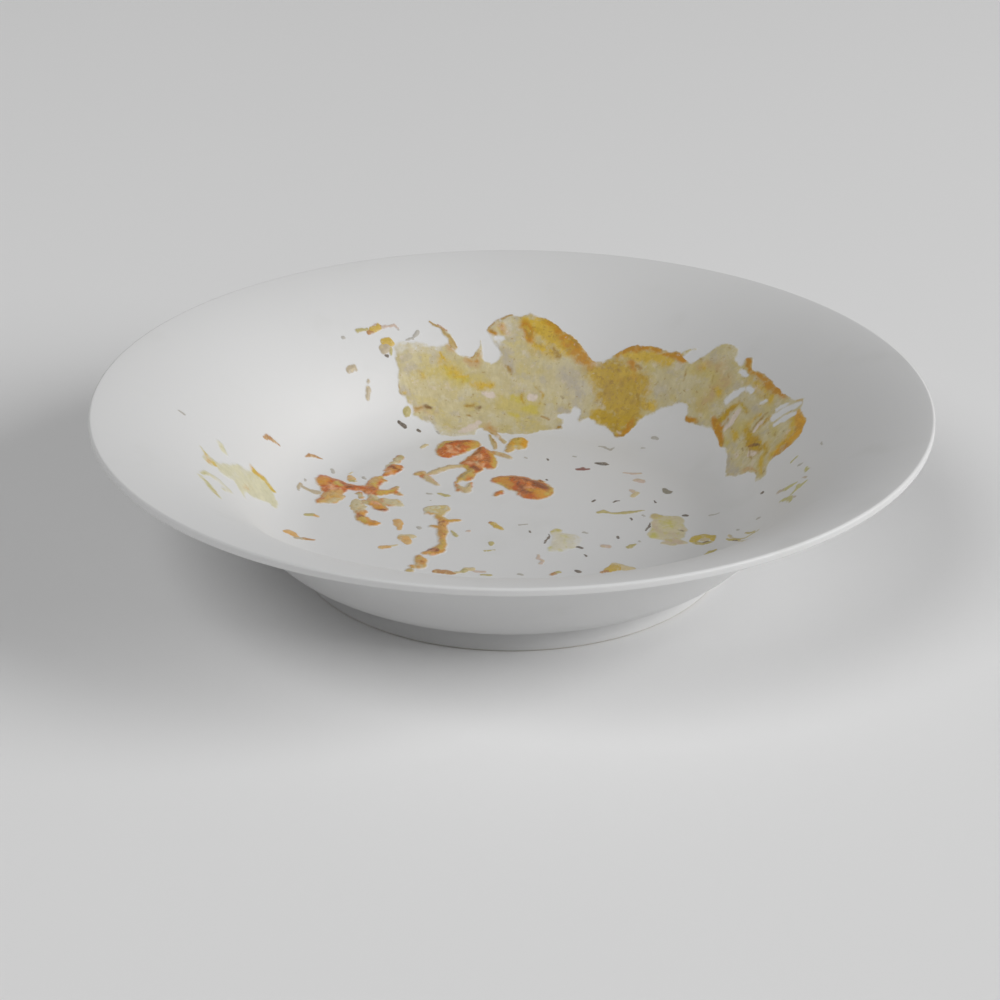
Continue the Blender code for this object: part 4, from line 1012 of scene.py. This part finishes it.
tomatoCluster = {
    **tomatoBasics, 'nodes': ("tomato_cluster",), 'grid': (-70.0, -34.0, -10.0, 50.0),
    'height': 0.7, 'crown': 2.6, 'rim': 0.6, 'stray': 0.55,
    'outline': (
        (-66, 29.4), (-63.6, 30.7), (-60.5, 30), (-58, 28.6), (-56.2, 26.6), (-55, 24.3), (-55.6, 21),
        (-57, 19), (-56.6, 16.4), (-58, 13.2), (-59.6, 11.6), (-62, 12.2), (-64.8, 12.2), (-65.6, 14),
        (-64.4, 16.5), (-64, 20), (-65.2, 23.5), (-66.4, 26.5),
    ),
    'strokes': (
        ((-56, 24.4, -53, 23.6, -50, 23, -47.6, 21.6), (3.4, 3.4, 4, 5.8)),
        ((-51.8, 12, -51.2, 8.4), (4.4, 4.8)), ((-42.8, 12.8, -39.6, 12, -36.8, 10.2), (5.4, 5.6, 1.6)),
        ((-47, 17.6, -46, 14), (2.8, 3)),
        ((-47.6, 21, -47, 26, -45.6, 30, -44.6, 32), (5.2, 4.4, 4.6, 2.4)),
        ((-45, 30.4, -42.6, 29), (2.6, 1.2)),
        ((-43.6, 33, -41, 36.6, -40.4, 39.6, -42.4, 41.4), (1, 4.8, 5.2, 1.6)),
        ((-40, 37, -38.4, 38.8), (3.4, 1.6)), ((-41.2, 43, -39.8, 44.6, -38.4, 48.4), (2, 2.4, 2.6)),
        ((-46, 20, -42.6, 19.8, -40, 20.8, -38.8, 23.6), (4.6, 3.4, 3.6, 1.8)),
        ((-39.4, 20.4, -37, 17.4), (2.8, 0.9)), ((-51.6, 19.4, -51, 17, -50.2, 15.6), (1.6, 1.2, 1.4)),
        ((-46.8, 18.8, -46, 15), (2.2, 3)), ((-52, 13, -51, 8, -50.6, 5.4), (3.4, 5.4, 4.6)),
        ((-48.4, 12.6, -45.4, 11.6, -43.8, 8.8, -42.4, 6), (3.4, 4.4, 4.2, 1.8)),
        ((-50.4, 5, -49.6, 1, -48.2, -2.2, -46, -3.8, -43.4, -3.4), (3.8, 3.6, 3.6, 3, 1.2)),
    ),
    'lifts': {'light': 0.1, 'dark': -0.05, 'pale': -0.3, 'stem': -0.3, 'olive': -0.15, 'tan': -0.1},
    'spots': {
        'pale': (
            (1, 2, (-52, 12, -50.8, 7), (5.6, 5)), (1, 2, (-41, 13, -37.6, 11), (4.6, 5.4)),
            (0.9, 2, (-51.8, 17, -48.6, 16.6, -44.6, 15.6), 2.6),
            (0.6, 1.4, (-60.2, 12.4, -57, 16.6), (2, 1.4)),
            (1, 1.2, (-42, 41.6, -40.6, 43.6, -39.2, 46), (2.4, 2.6, 2.4)), (0.6, 1, (-54, 3.4), 1.6),
        ),
        'orange': (
            (0.9, 1.4, (-47, 12, -44.6, 9.4, -43, 6.6), (2.4, 3.4, 2)),
            (0.7, 1.8, (-63.4, 13.4, -59, 13.4), (1.6, 1.4)), (0.9, 2, (-64.6, 27.4, -63.4, 25), (3.6, 3)),
            (0.8, 1.6, (-63, 17, -62.4, 14.6), 1.8), (0.7, 1.2, (-46.8, 27, -45.6, 29.6), 1.4),
            (0.8, 2, (-42, 35.6, -40, 38), (3.6, 4)), (0.7, 1.4, (-41, 20.4, -40, 22.6), (1.8, 1.6)),
            (0.6, 1.2, (-50.6, 15.4, -48, 15, -44, 16), 1), (1, 1.4, (-46.4, 11.4, -45, 8.6), (2.4, 2.2)),
            (0.9, 1.2, (-44.4, 6.6, -46, 8), (2.4, 1.2)),
            (1, 1.6, (-49.6, 3.6, -46.6, -3, -44.4, -3.6), (3, 3.4, 2)),
        ),
        # painted highlights: where the wet tomato catches the light
        'light': (
            (0.9, 1, (-46.4, 11.6, -43.8, 9.8), 1.6), (0.9, 1.2, (-61.8, 24, -60.4, 21.6), (1.8, 2)),
            (0.7, 1.2, (-58.6, 22), 1.8), (0.7, 1, (-52.6, 22.2, -50.8, 21.4), 1.2),
            (0.7, 1.4, (-42, 36, -41, 34.6), (2, 1.6)), (0.6, 1.2, (-47, 18.6, -45.8, 15.4), 2),
            (0.8, 0.9, (-45.6, 10.6), 1.2),
        ),
        'dark': (
            (0.7, 0.9, (-45.8, 7, -42.2, 5.8), 0.9),
            (0.6, 1.2, (-62, 29.4, -58.6, 27.8, -56, 25), (1.2, 1.2, 1.8)),
            (0.4, 1, (-64.4, 19.4, -60, 18.8, -57, 19.6), 0.8),
            (0.8, 0.9, (-55.4, 23.6, -53, 23.8, -50.6, 24.2), (1.6, 0.9, 0.8)),
            (0.5, 1.6, (-49, 21.4, -46.6, 22), 2.2),
            (0.8, 1.2, (-42.2, 40.4, -40.6, 38.6, -39, 36.8), (1.2, 1.4, 1.2)),
            (0.8, 1, (-50.4, 1.6, -48.4, 1), (1.6, 1.4)), (0.5, 1, (-46.4, -2.4, -45.6, -3.6), 1.2),
        ),
        'olive': (
            (0.9, 0.9, (-49, 7.4, -48.6, 12.6, -45, 13.8, -42.4, 10, -41.5, 6.6),
             (1.2, 1.4, 1.2, 1.2, 0.8)),
            (0.7, 0.8, (-53.4, 13.4, -48.4, 14), 0.9), (1, 1, (-38.8, 46.6, -38, 49), 2.2),
            (0.6, 0.8, (-41.4, 44.4, -40, 46.4), 0.7), (0.9, 1.4, (-38.8, 23.8, -38.4, 22), 1.6),
            (0.9, 1.4, (-48.6, 14, -48.8, 9.6, -49.6, 6.4), (1.4, 2.2, 1.6)), (0.8, 1, (-37.6, 18.4), 1.6),
            (0.9, 1.2, (-51.8, 19.2, -50.8, 16.2), 1.6), (0.8, 0.9, (-52.6, 10.4, -50.4, 9), 0.9),
            (0.5, 1, (-53, 15, -51.6, 11.4), 0.8), (0.5, 1, (-42.6, 13.6, -40.4, 12), 0.9),
            (0.6, 1.2, (-39.4, 8.4, -38.6, 10), 0.9),
        ),
        'thin': ((0.9, 2, (-40.6, 13.4, -37.4, 11.4), 3),),
        'tan': (
            (0.9, 2.4, (-60.4, 14, -57.8, 17.6), 4), (1, 2.4, (-62.6, 17.6, -62, 13.6), (3, 4.4)),
            (1, 2, (-59, 18.4, -58.4, 14), (4, 3.6)), (0.9, 1.4, (-47.4, 27.6, -45, 31), (2.6, 3.4)),
            (0.9, 1.4, (-52.4, 15.6, -50, 12), 1.4), (0.7, 1.2, (-40, 41.8, -39.2, 43), 1.4),
            (0.7, 1, (-49.6, -1.8), 1.4),
        ),
        'oil': (
            (0.8, 1.4, (-61.6, 16, -58.6, 15.4), 1.2), (1, 1, (-59.6, 25.8, -57.8, 25), 2.6),
            (0.9, 1.6, (-47, 25.6, -46.8, 24.4), (2.6, 2.2)), (0.8, 1, (-43.4, 29.4, -44.6, 32), 1.4),
            (0.8, 1.6, (-43.6, 19.4, -40.4, 20.4), (2.6, 2.4)),
            (0.8, 1.2, (-46.6, 14, -44, 11), (1.6, 1.4)), (1, 1.2, (-49.6, 0, -48.4, -3), (2.2, 1.8)),
        ),
        'stem': ((0.9, 1.6, (-54, 12, -53, 6), (1.8, 2.6)),),
    },
}

sauceStreak = {
    **tomatoBasics, 'nodes': ("tomato_streak",), 'grid': (-36.0, -14.0, -44.0, 10.0),
    'height': 0.5, 'crown': 2.0, 'rim': 0.4,
    'outline': (
        (-28.9, 7.5), (-27.6, 9.1), (-24, 9.7), (-21.8, 9.3), (-20.6, 7), (-21.6, 4.5), (-22.6, 2),
        (-24.2, 1), (-25.6, 2.2), (-28, 3.2), (-28.6, 5.4),
    ),
    'strokes': (
        ((-24.6, 1.8, -22.4, -1.6, -22.6, -6, -22.6, -10.6, -22.4, -15, -22.4, -19, -23.4, -22.4,
          -25.4, -24, -27.8, -24.8), (1.6, 3.8, 2.8, 3.6, 2, 2.4, 4.6, 4.4, 1.8)),
        ((-22, -2.4, -19.4, -1.6, -17.2, -1.4), (2.4, 1.8, 1.2)), ((-23, -6, -26.4, -5.6), (2, 1.2)),
        ((-29.6, -27.6, -28.8, -30, -29, -33.8), (2.4, 4.2, 3.2)), ((-31.6, -33.6, -31, -35), (1.6, 1.2)),
        ((-33, -38, -32.2, -36.8), (1.8, 2.6)),
    ),
    'lifts': {'light': 0.08, 'dark': -0.03, 'pale': -0.3, 'olive': -0.1},
    'tones': {
        **tomatoBasics['tones'], 'first': (0.55, 0.29, 0.06), 'second': (0.50, 0.24, 0.04),
        'pale': (0.54, 0.50, 0.33),
    },
    'flecks': (
        # the 'light' flecks are painted highlights of the wet sauce
        ('light', 1.2, 0.56, 0.66, 0.45, None), ('dark', 0.8, 0.6, 0.68, 0.45, None),
        ('oil', 1.6, 0.5, 0.6, 0.6, None),
    ),
    'spots': {
        'pale': ((1, 1.4, (-26.6, 6.2, -23.4, 6.4, -23.8, 3.4), (5.4, 6, 3.4)),),
        'olive': (
            (0.7, 1.4, (-24.2, 5, -22.4, 7), (1.6, 2)), (0.6, 0.8, (-26.6, -5.6), 1.2),
            (0.9, 1.2, (-33, -38, -32, -36.4), 2.6),
        ),
        'dark': (
            (0.6, 0.8, (-28.2, 8, -25.6, 8.9, -24, 8.7), (0.7, 1, 0.9)), (0.5, 1, (-22.4, -3.2), 2),
            (0.5, 1.4, (-23, -9.6, -21.6, -11), (1.8, 1.6)), (1, 1.2, (-27, -22.8, -25, -23.4), (2.2, 2.4)),
            (0.4, 1.2, (-28.6, -31.4), 2),
        ),
        'oil': ((0.9, 1.2, (-22.6, -16.6, -22.8, -22), (1.4, 2)), (0.7, 1.2, (-29.4, -29), 2),),
        # painted highlight on the wet sauce
        'light': ((0.6, 1, (-27, -25, -24.6, -26.2), (1.2, 1.4)),),
        'orange': ((0.9, 1.4, (-21.8, -2.2, -18, -1.4), (1.6, 1.8)),),
        'stem': ((0.8, 1.2, (-28.6, -34.6, -30, -33), 1.8),),
    },
}

orangeBlob = {
    **tomatoBasics, 'slot': "orange_oil", 'nodes': ("orange_blob",), 'grid': (-4.0, 8.0, 46.0, 65.0),
    'height': 0.6, 'crown': 2.6, 'rim': 0.5,
    'outline': (
        (-0.4, 60.4), (0.4, 63), (2.4, 64.6), (4.6, 64.4), (5.9, 62), (5.9, 58.6), (5, 55.6), (3.4, 54.6),
        (1.6, 55), (0.2, 52.4), (-1.6, 53), (-1.4, 56.6),
    ),
    'lifts': {'light': 0.1, 'dark': -0.1},
    'tones': {
        **tomatoBasics['tones'], 'first': (0.60, 0.40, 0.06), 'second': (0.56, 0.38, 0.07),
        'orange': (0.62, 0.30, 0.012),
    },
    'flecks': (('oil', 1.6, 0.52, 0.62, 0.6, None),),
    'spots': {
        'orange': (
            (1, 1.4, (4.8, 63, 4.9, 60, 4.4, 57), (1.8, 2.6, 2)),
            (0.8, 1.4, (0.2, 61, 0.6, 58), (1.8, 1.6)),
        ),
        'oil': ((0.8, 1.6, (2.4, 63.4, 2.6, 60), (2.4, 1.6)),),
        'pale': ((0.8, 1.2, (2, 56.4, 3.4, 55.4), (1.8, 1.4)),),
        'tan': ((1, 1.4, (-0.6, 56, -0.6, 52.8), (1.8, 2.4)),),
        'olive': ((0.6, 0.9, (0.6, 52.6), 1.4),),
    },
}

layFood("tomato_a", tomatoLeft)
layFood("tomato_b", tomatoMiddle)
layFood("tomato_c", tomatoBean)
layFood("tomato_d", tomatoCluster)
layFood("sauce_streak", sauceStreak)
layFood("orange_oil", orangeBlob)


# Small bits: each is (mark, path, widths). Those marked 'first' have the two ground tones alone.
crumbs = {
    **filmBasics, 'slot': "tomato", 'cell': 0.24, 'stray': 0.3, 'cloud': 1.2, 'grit': 0.6, 'gloss': 0.45,
    'film': 0.10, 'height': 0.22, 'crown': 1.2, 'lump': 0.9, 'lumpy': 0.5, 'bevel': 0.3,
    'lifts': {}, 'edgeLine': 0.5, 'edgeShare': 0.4, 'spread': 0.4, 'soft': 0.85, 'wear': 3.0, 'tear': 0.7,
    'streaks': 0.14, 'drag': (0.6, 0.6),
    'flecks': (('tan', 1.0, 0.54, 0.62, 0.5, None), ('edge', 0.7, 0.58, 0.66, 0.4, None)),
    'tones': {
        'first': (0.58, 0.36, 0.14), 'second': (0.56, 0.32, 0.10), 'tan': (0.57, 0.47, 0.27),
        'olive': (0.42, 0.36, 0.15), 'gold': (0.52, 0.36, 0.07), 'brown': (0.40, 0.21, 0.08),
        'pink': (0.53, 0.42, 0.35), 'husk': (0.43, 0.36, 0.25), 'edge': (0.36, 0.25, 0.12),
    },
    'crumbs': (
        ('first', (-37.6, -1.6, -37, -4, -36.6, -7.8), (2.8, 3, 1.2)),
        ('tan', (-35.6, -12.6, -32.6, -12.8), 2.8), ('first', (-34.8, -13.6, -33.4, -17.4), (4.4, 2.4)),
        ('brown', (-35, -14.6, -33.2, -15.4), (0.8, 1)), ('first', (-41.4, -20.8, -39.8, -20.4), (2.6, 2)),
        ('tan', (-39, -19.6, -37.2, -19.1), (1.2, 0.6)),
        ('gold', (-6.2, -3.4, -4.6, -5.8, -3.2, -7.6), (2, 2.2, 1.2)),
        ('brown', (-6.8, -2.8, -6, -3.8), (1.3, 1.5)), ('olive', (-6.5, -17.2, -6.2, -18.4), (1.4, 1.5)),
        ('olive', (-8.2, -23, -5.6, -22.5), (1.2, 0.8)),
        ('pink', (8.4, -26, 8.6, -28.6, 9.9, -30, 9, -32), (0.9, 1.3, 1.1, 1.4)),
        ('pink', (-14.1, -8.9), 1.7), ('olive', (-19.6, -9, -18.6, -11, -17.8, -12.6), (0.7, 0.9, 1.3)),
        ('brown', (-23.8, -37, -21, -37.6, -18.4, -38.4), (2.2, 2.8, 1.8)),
        ('tan', (-18.4, -38, -16, -37.6), (1.4, 1.2)), ('olive', (-15.3, -37.2, -14.6, -36), 2.2),
        ('tan', (-14.4, -35.4, -12.2, -35.6), 2), ('pink', (-11.4, -37.2, -8.8, -37.4), (1.4, 1.2)),
        ('olive', (-9.6, -39.6, -6.6, -39.8), (0.9, 1.1)),
        ('brown', (12.6, -39.2, 13.8, -38.4), (1.7, 1.5)), ('olive', (14, -38.2, 15.2, -37.6), (1.2, 1)),
        ('brown', (28.4, -37.8, 30.6, -36.8), (1.3, 2)), ('gold', (31, -36, 33.2, -34.6), (3.6, 4.6)),
        ('tan', (33, -32.8, 35.6, -35, 38.4, -35.4), (2.6, 3.2, 2)),
        ('first', (30.4, -36.6, 32.6, -36.4), 1.2), ('pink', (29.6, -19.8, 31.6, -20.2), (1.7, 1.9)),
        ('olive', (38, -20.6, 38.6, -19.6, 40.2, -18.6), (2.2, 1.6, 0.6)),
        ('olive', (29, 4.6, 30.8, 5.4, 33.6, 3.9, 36.4, 4, 39.4, 4.8, 44.4, 6.2),
         (1.6, 2.2, 1, 1.7, 1.6, 0.4)),
        ('pink', (43.4, 29.4, 44.8, 28.8), (2.6, 2.8)), ('tan', (42.6, 19.6, 41.2, 17.2), (2, 1.8)),
        ('pink', (41, 21.6, 42, 20), 1.4), ('pink', (39.4, 35.2, 42, 34.8, 45, 35.2), (0.8, 1.4, 0.8)),
        ('olive', (-67.6, 2.4, -66, 3), (1.8, 2.2)), ('first', (-65.6, 2.8, -63.8, 1.4), (2, 1)),
        ('first', (-73.6, -16.4, -71.8, -15, -69.6, -16.6), (1.6, 3.6, 2)),
        ('husk', (-69.8, -17.4, -68, -16.6), (1.5, 1.6)), ('brown', (-67, -15.8, -64, -15.6), (1.7, 0.9)),
        ('brown', (-84, 28.2, -82.9, 29.9, -80.8, 30.9, -79.2, 31.5), (0.6, 1.3, 0.8, 0.4)),
        ('brown', (-70.6, 35.9, -69.5, 37.5, -67.8, 38.5, -65.2, 39.1), (0.5, 1.4, 0.9, 0.4)),
        ('first', (-55.2, 32.6, -54.6, 30.6), (1.6, 2.8)), ('olive', (-54.4, 29.4, -53.2, 28.8), (2, 1.2)),
        ('olive', (-24, 19, -21.6, 17.4), (1.5, 1.9)), ('tan', (-55.4, 34.6, -55, 35.8), (0.9, 0.7)),
        ('husk', (-57.8, 73.4, -56, 75.4), (1.8, 2.2)), ('brown', (-57, 74.6, -56.2, 75.2), 0.9),
        ('husk', (-51, 69.7, -50.6, 71.6), (1.4, 1.7)), ('husk', (-50.9, 73.4, -50.7, 74), 0.8),
        ('olive', (-37.2, 70.8, -36.6, 72.2), (2.2, 2)), ('tan', (-31.2, 56.6, -30, 58.4), (1.8, 2)),
        ('brown', (-51.4, 89.2, -49.8, 89.8), (1.6, 1.2)), ('gold', (-50, 90.6, -47.6, 92.4), (2.6, 2.2)),
        ('brown', (-50.6, 91.2, -48.8, 92.8, -47, 92.9), (0.6, 0.8, 0.9)),
        ('olive', (-55.4, 88.3, -52, 90.2), (1, 0.8)),
        ('pink', (-46.4, 92.6, -42, 94.6, -40.8, 93.6), (0.9, 0.7, 0.9)), ('olive', (-55.4, 88.2), 1.4),
        ('husk', (-45.8, 85.4, -44.6, 86.2), (2.6, 3)), ('gold', (-45.6, 87.6, -43.4, 88.4), (2.2, 2.6)),
        ('brown', (-45.8, 87.2, -44.4, 87.8), (0.9, 1)), ('olive', (-43.6, 86.2, -43, 84.8), (1.6, 1)),
        ('husk', (-71.8, 18, -71.4, 21), (1, 1.5)),
        ('husk', (-70.6, 19.8, -68.4, 19.4, -65.4, 19), (1.6, 1.5, 2.6)),
        ('brown', (-26.4, 98.4, -23.2, 97), (0.4, 0.5)),
    ),
}

oliveRings = {
    **crumbs, 'slot': "golden_sauce",
    'crumbs': (
        ('gold', (59, -16.4, 60, -14, 63, -12.8, 65.2, -13.8, 65.2, -16.4), (2.2, 3, 2.6, 2.4, 1.4)),
        ('olive', (59.6, -17.6, 62, -18.4, 64.6, -17.4), (2, 1.4, 1.2)),
        ('brown', (61.8, -17.8, 63.6, -16.8), (1, 0.9)), ('tan', (62.2, -15.8, 63.8, -15), 1.8),
        ('olive', (70, -18.6, 71.6, -21.4, 73.2, -25), (0.8, 1.8, 1)),
        ('brown', (71.6, -22.4, 72.8, -24.6), (0.9, 0.7)),
        ('olive', (62.4, -27, 64, -25.6, 65.4, -24.8), (0.8, 1.8, 1.2)),
        ('brown', (63.8, -26, 64.6, -25.2), 0.8),
        ('olive', (75.6, -21, 77.4, -26.4, 77.6, -28), (0.5, 0.8, 0.4)),
        ('olive', (72.6, -22.6, 75, -26.4, 77.2, -27.2, 78.6, -30), (0.6, 0.6, 0.6, 0.4)),
        ('tan', (72.6, -25.4, 74.8, -29.4, 75.8, -37, 76, -44), (0.6, 0.5, 0.5, 0.4)),
        ('tan', (70.6, -15.8, 71.4, -18.4, 72.4, -22), (0.6, 0.7, 0.6)),
        ('green', (86.2, -21.5, 87.4, -25, 88, -29, 87.4, -33.6), (0.7, 1.3, 1.6, 0.6)),
        ('green', (89.2, -25.4, 91.4, -25, 93.6, -24.8), (1.6, 2.8, 0.8)),
        ('green', (91, -21.6, 91, -24), (0.7, 1.6)),
        ('green', (88.4, -14.6, 89.4, -16.2, 91.4, -18.6), (1.2, 1.6, 0.8)),
        ('pink', (86.4, -10.8, 88, -13.6), (0.8, 0.9)), ('green', (94.8, -12.6, 95, -15.6), (0.7, 1.5)),
        ('green', (92, 0, 93.4, -0.2), (1, 1.2)), ('pink', (93.2, -19, 93.8, -21.6), 0.5),
        ('pink', (88.6, -30, 89, -33), (0.6, 0.5)),
    ),
    'tones': {
        'first': (0.48, 0.42, 0.14), 'second': (0.45, 0.38, 0.12), 'gold': (0.50, 0.37, 0.05),
        'olive': (0.42, 0.34, 0.10), 'green': (0.46, 0.43, 0.18), 'tan': (0.52, 0.44, 0.28),
        'pink': (0.46, 0.38, 0.30), 'brown': (0.16, 0.11, 0.04), 'edge': (0.32, 0.26, 0.10),
    },
}

specks = {
    **crumbs, 'height': 0.25, 'crown': 0.7, 'stray': 0.36, 'spread': 0.2, 'soft': 0.5, 'wear': 2.2,
    'gloss': 0.4,
    'flecks': (('grey', 0.6, 0.58, 0.66, 0.4, None),),
    'tones': {
        'first': (0.11, 0.09, 0.07), 'second': (0.17, 0.14, 0.11), 'grey': (0.42, 0.40, 0.36),
        'red': (0.22, 0.09, 0.07), 'stone': (0.22, 0.20, 0.15), 'edge': (0.30, 0.26, 0.21),
    },
    'crumbs': (
        ('first', (12.4, -11.2, 12.1, -14.4, 10.8, -17.6), (0.4, 0.9, 0.5)),
        ('first', (46.2, -3.2, 45.5, -5.6, 44, -8.4), (0.5, 1.1, 0.6)),
        ('first', (-39.4, 67.2, -37.6, 66.4), (1.9, 1.7)), ('first', (-33.2, 66.3, -32.4, 66), (1.3, 1.2)),
        ('grey', (-60.2, 83.4, -59.6, 83.7), 1.2), ('first', (-45.1, 83.9, -44.3, 83.8), 1),
        ('grey', (-57.4, 73.6, -56.8, 73.8), 1), ('grey', (-30.2, 59.2, -29.8, 58.8), 0.9),
        ('grey', (-26.2, 67, -25.8, 66.4), 1.2), ('first', (13.2, 46.9, 13.5, 46), 0.9),
        ('grey', (5, 48.2, 5.4, 47.6), 0.9), ('grey', (22.4, 48.8, 22.9, 48.4), 1),
        ('grey', (50.6, 57.2, 52, 55.9), (1.4, 1)), ('grey', (46.2, 53.8, 47.2, 53.2), (0.9, 0.6)),
        ('first', (12.2, 30.4, 12.4, 30), 0.8), ('first', (27.6, 12.8, 28.3, 14.2), (0.9, 0.8)),
        ('first', (34.8, 12.4, 35.6, 13.4, 36.4, 13.5), (0.9, 1.1, 0.6)),
        ('first', (48.3, 13.4, 48.6, 12.4), 0.8), ('first', (57.3, 2.5, 58.5, 2.3), 1),
        ('first', (39.6, 0.6, 39.9, -1), (0.6, 0.8)), ('grey', (43.7, 2.8, 44.2, 2.3), 0.9),
        ('first', (6.3, -8.8, 6.4, -9.6), 0.7), ('grey', (23.6, -9.9, 24.5, -10.3), 1.1),
        ('first', (34.4, -13.2, 34.8, -14.2), (1, 1.1)), ('first', (21.4, -20.3, 22.6, -21.4), (1.3, 1.4)),
        ('first', (23.7, -26, 24, -26.8), 0.9), ('first', (20.4, -37, 21.6, -37.6), (1.3, 1.5)),
        ('grey', (2.2, -39, 3.2, -39.6), 1.2), ('first', (82.8, 0.3, 83.4, -0.6), (1.1, 0.7)),
        ('grey', (93.4, -6.2, 94.2, -7.4), (0.8, 0.9)), ('grey', (79.8, -15.6, 80.2, -17), 0.9),
        ('grey', (100.8, -3.6, 101, -5), 0.6), ('grey', (-109, 8.2, -107.6, 7.8), (0.9, 1.1)),
        ('grey', (41.4, -16, 41.7, -16.8), 0.7), ('grey', (-61.8, 35.6, -61.2, 33.8), (1.1, 1.3)),
        ('grey', (-50.6, 32, -49.8, 30.8), (1.3, 1.1)), ('grey', (-30.4, -6, -30, -6.8), 1.5),
        ('grey', (2.8, -4.5, 5.4, -4.1), (0.9, 0.7)), ('grey', (-28.2, 19.4, -26.8, 18.8), 1.1),
        ('grey', (-27, 13.7), 0.6), ('grey', (73.4, -14, 73.9, -15.2), 0.7),
        ('grey', (-71.9, 17.2, -71.6, 18.6), 0.9), ('grey', (-34.8, 92.8, -33.6, 94.4), (1, 1.4)),
        ('grey', (-38, 90.6, -35.4, 92), (0.4, 0.9)),
        ('grey', (31.4, 57.6, 33.6, 56.6, 35, 54.4, 36.4, 56), (0.9, 1.5, 1.2, 0.9)),
        ('grey', (-40.7, 93.4), 1.1), ('grey', (66, 2.4, 69, 3), (0.9, 0.4)),
        ('grey', (-70.3, 24.8, -70, 23.8), 0.7),
        ('first', (30.2, 43.2, 32.2, 43, 33.4, 42.2), (2.2, 3.2, 1.6)),
        ('red', (23.2, 38.6, 25, 38.8, 26.8, 38.6), (1.6, 2.6, 1.3)),
        ('stone', (52.4, 22.6, 53.2, 20.4, 54.4, 20.6), (2, 3, 1.2)),
    ),
}

scatterCrumbs("food_crumbs", crumbs)
scatterCrumbs("olive_bits", oliveRings)
scatterCrumbs("dark_specks", specks)


studio = {                                       # lengths in metres
    'floor': (0.80, 0.80, 0.80), 'floorRadius': 6.0, 'floorSides': 96, 'floorRough': 0.9,
    'cloudSize': 0.2, 'cloudShade': 0.02,        # the floor's own slight unevenness
    'background': (0.86, 0.86, 0.86),
    'fill': 0.181,                               # light of the room from all round
    'lamps': (                                   # azimuth, elevation, distance, size, watts
        ("key", -15.0, 25.0, 5.0, 3.0, 200.0),
        ("second", 225.0, 50.0, 5.0, 3.0, 84.0),
    ),
    'aim': (0.0, 0.0, 0.03),                     # the lamps are set out from this point and face it
    'camera': (-0.003672, -0.659907, 0.339463), 'tilt': 63.955, 'lens': 79.93,
    'sensor': 36.0, 'sight': (0.01, 50.0),
}


def roomLight():
    # the camera, mirror and glass rays see the pale background; the rest get the soft fill
    world = bpy.data.worlds.new("room")
    bpy.context.scene.world = world
    world.use_nodes = True
    recipe = Recipe(world.node_tree)
    world.node_tree.nodes.clear()
    camera = recipe.add('ShaderNodeLightPath', out='Is Camera Ray')
    rays = camera.socket.node.outputs
    seen = camera + Wire(recipe, rays['Is Glossy Ray']) + Wire(recipe, rays['Is Transmission Ray'])
    level = studio['fill']
    color = recipe.tint(seen, (level, level, level), studio['background'])
    light = recipe.add('ShaderNodeBackground', None, {'Color': color, 'Strength': 1.0})
    recipe.add('ShaderNodeOutputWorld', None, {'Surface': light})


def layFloor():
    # a wide disc on the plate's foot plane
    reach, sides = studio['floorRadius'], studio['floorSides']
    angle = np.linspace(0.0, 2.0 * math.pi, sides, endpoint=False)
    rim = np.column_stack((reach * np.cos(angle), reach * np.sin(angle), np.zeros(sides)))
    mesh = bpy.data.meshes.new("floor")
    mesh.from_pydata(rim, [], [list(range(sides))])
    material, recipe, shader = newFinish("floor_paint")
    cloud = recipe.grain(recipe.place(), studio['cloudSize'])
    light = cloud * studio['cloudShade'] + (1.0 - 0.5 * studio['cloudShade'])
    recipe.feed(shader.inputs['Base Color'], recipe.shade(studio['floor'], light))
    recipe.feed(shader.inputs['Roughness'], studio['floorRough'])
    mesh.materials.append(material)
    floor = bpy.data.objects.new("floor", mesh)
    bpy.context.scene.collection.objects.link(floor)


def hangLamp(name, azimuth, elevation, distance, size, watts):
    # a disc lamp on the line from the aim at this azimuth and elevation
    a, e = math.radians(azimuth), math.radians(elevation)
    data = bpy.data.lights.new(name, 'AREA')
    data.shape, data.size, data.energy = 'DISK', size, watts
    lamp = bpy.data.objects.new(name, data)
    away = np.array((math.cos(a) * math.cos(e), math.sin(a) * math.cos(e), math.sin(e)))
    lamp.location = away * distance + studio['aim']
    lamp.rotation_euler = (math.radians(90.0 - elevation), 0.0, a + math.radians(90.0))
    bpy.context.scene.collection.objects.link(lamp)


def setCamera():
    data = bpy.data.cameras.new("camera")
    data.lens, data.sensor_width = studio['lens'], studio['sensor']
    data.clip_start, data.clip_end = studio['sight']
    camera = bpy.data.objects.new("camera", data)
    camera.location = studio['camera']
    camera.rotation_euler = (math.radians(studio['tilt']), 0.0, 0.0)
    bpy.context.scene.collection.objects.link(camera)
    bpy.context.scene.camera = camera


roomLight()
layFloor()
for lamp in studio['lamps']:
    hangLamp(*lamp)
setCamera()
bpy.context.scene.view_settings.view_transform = 'Standard'
print("floor, lamps and camera set")
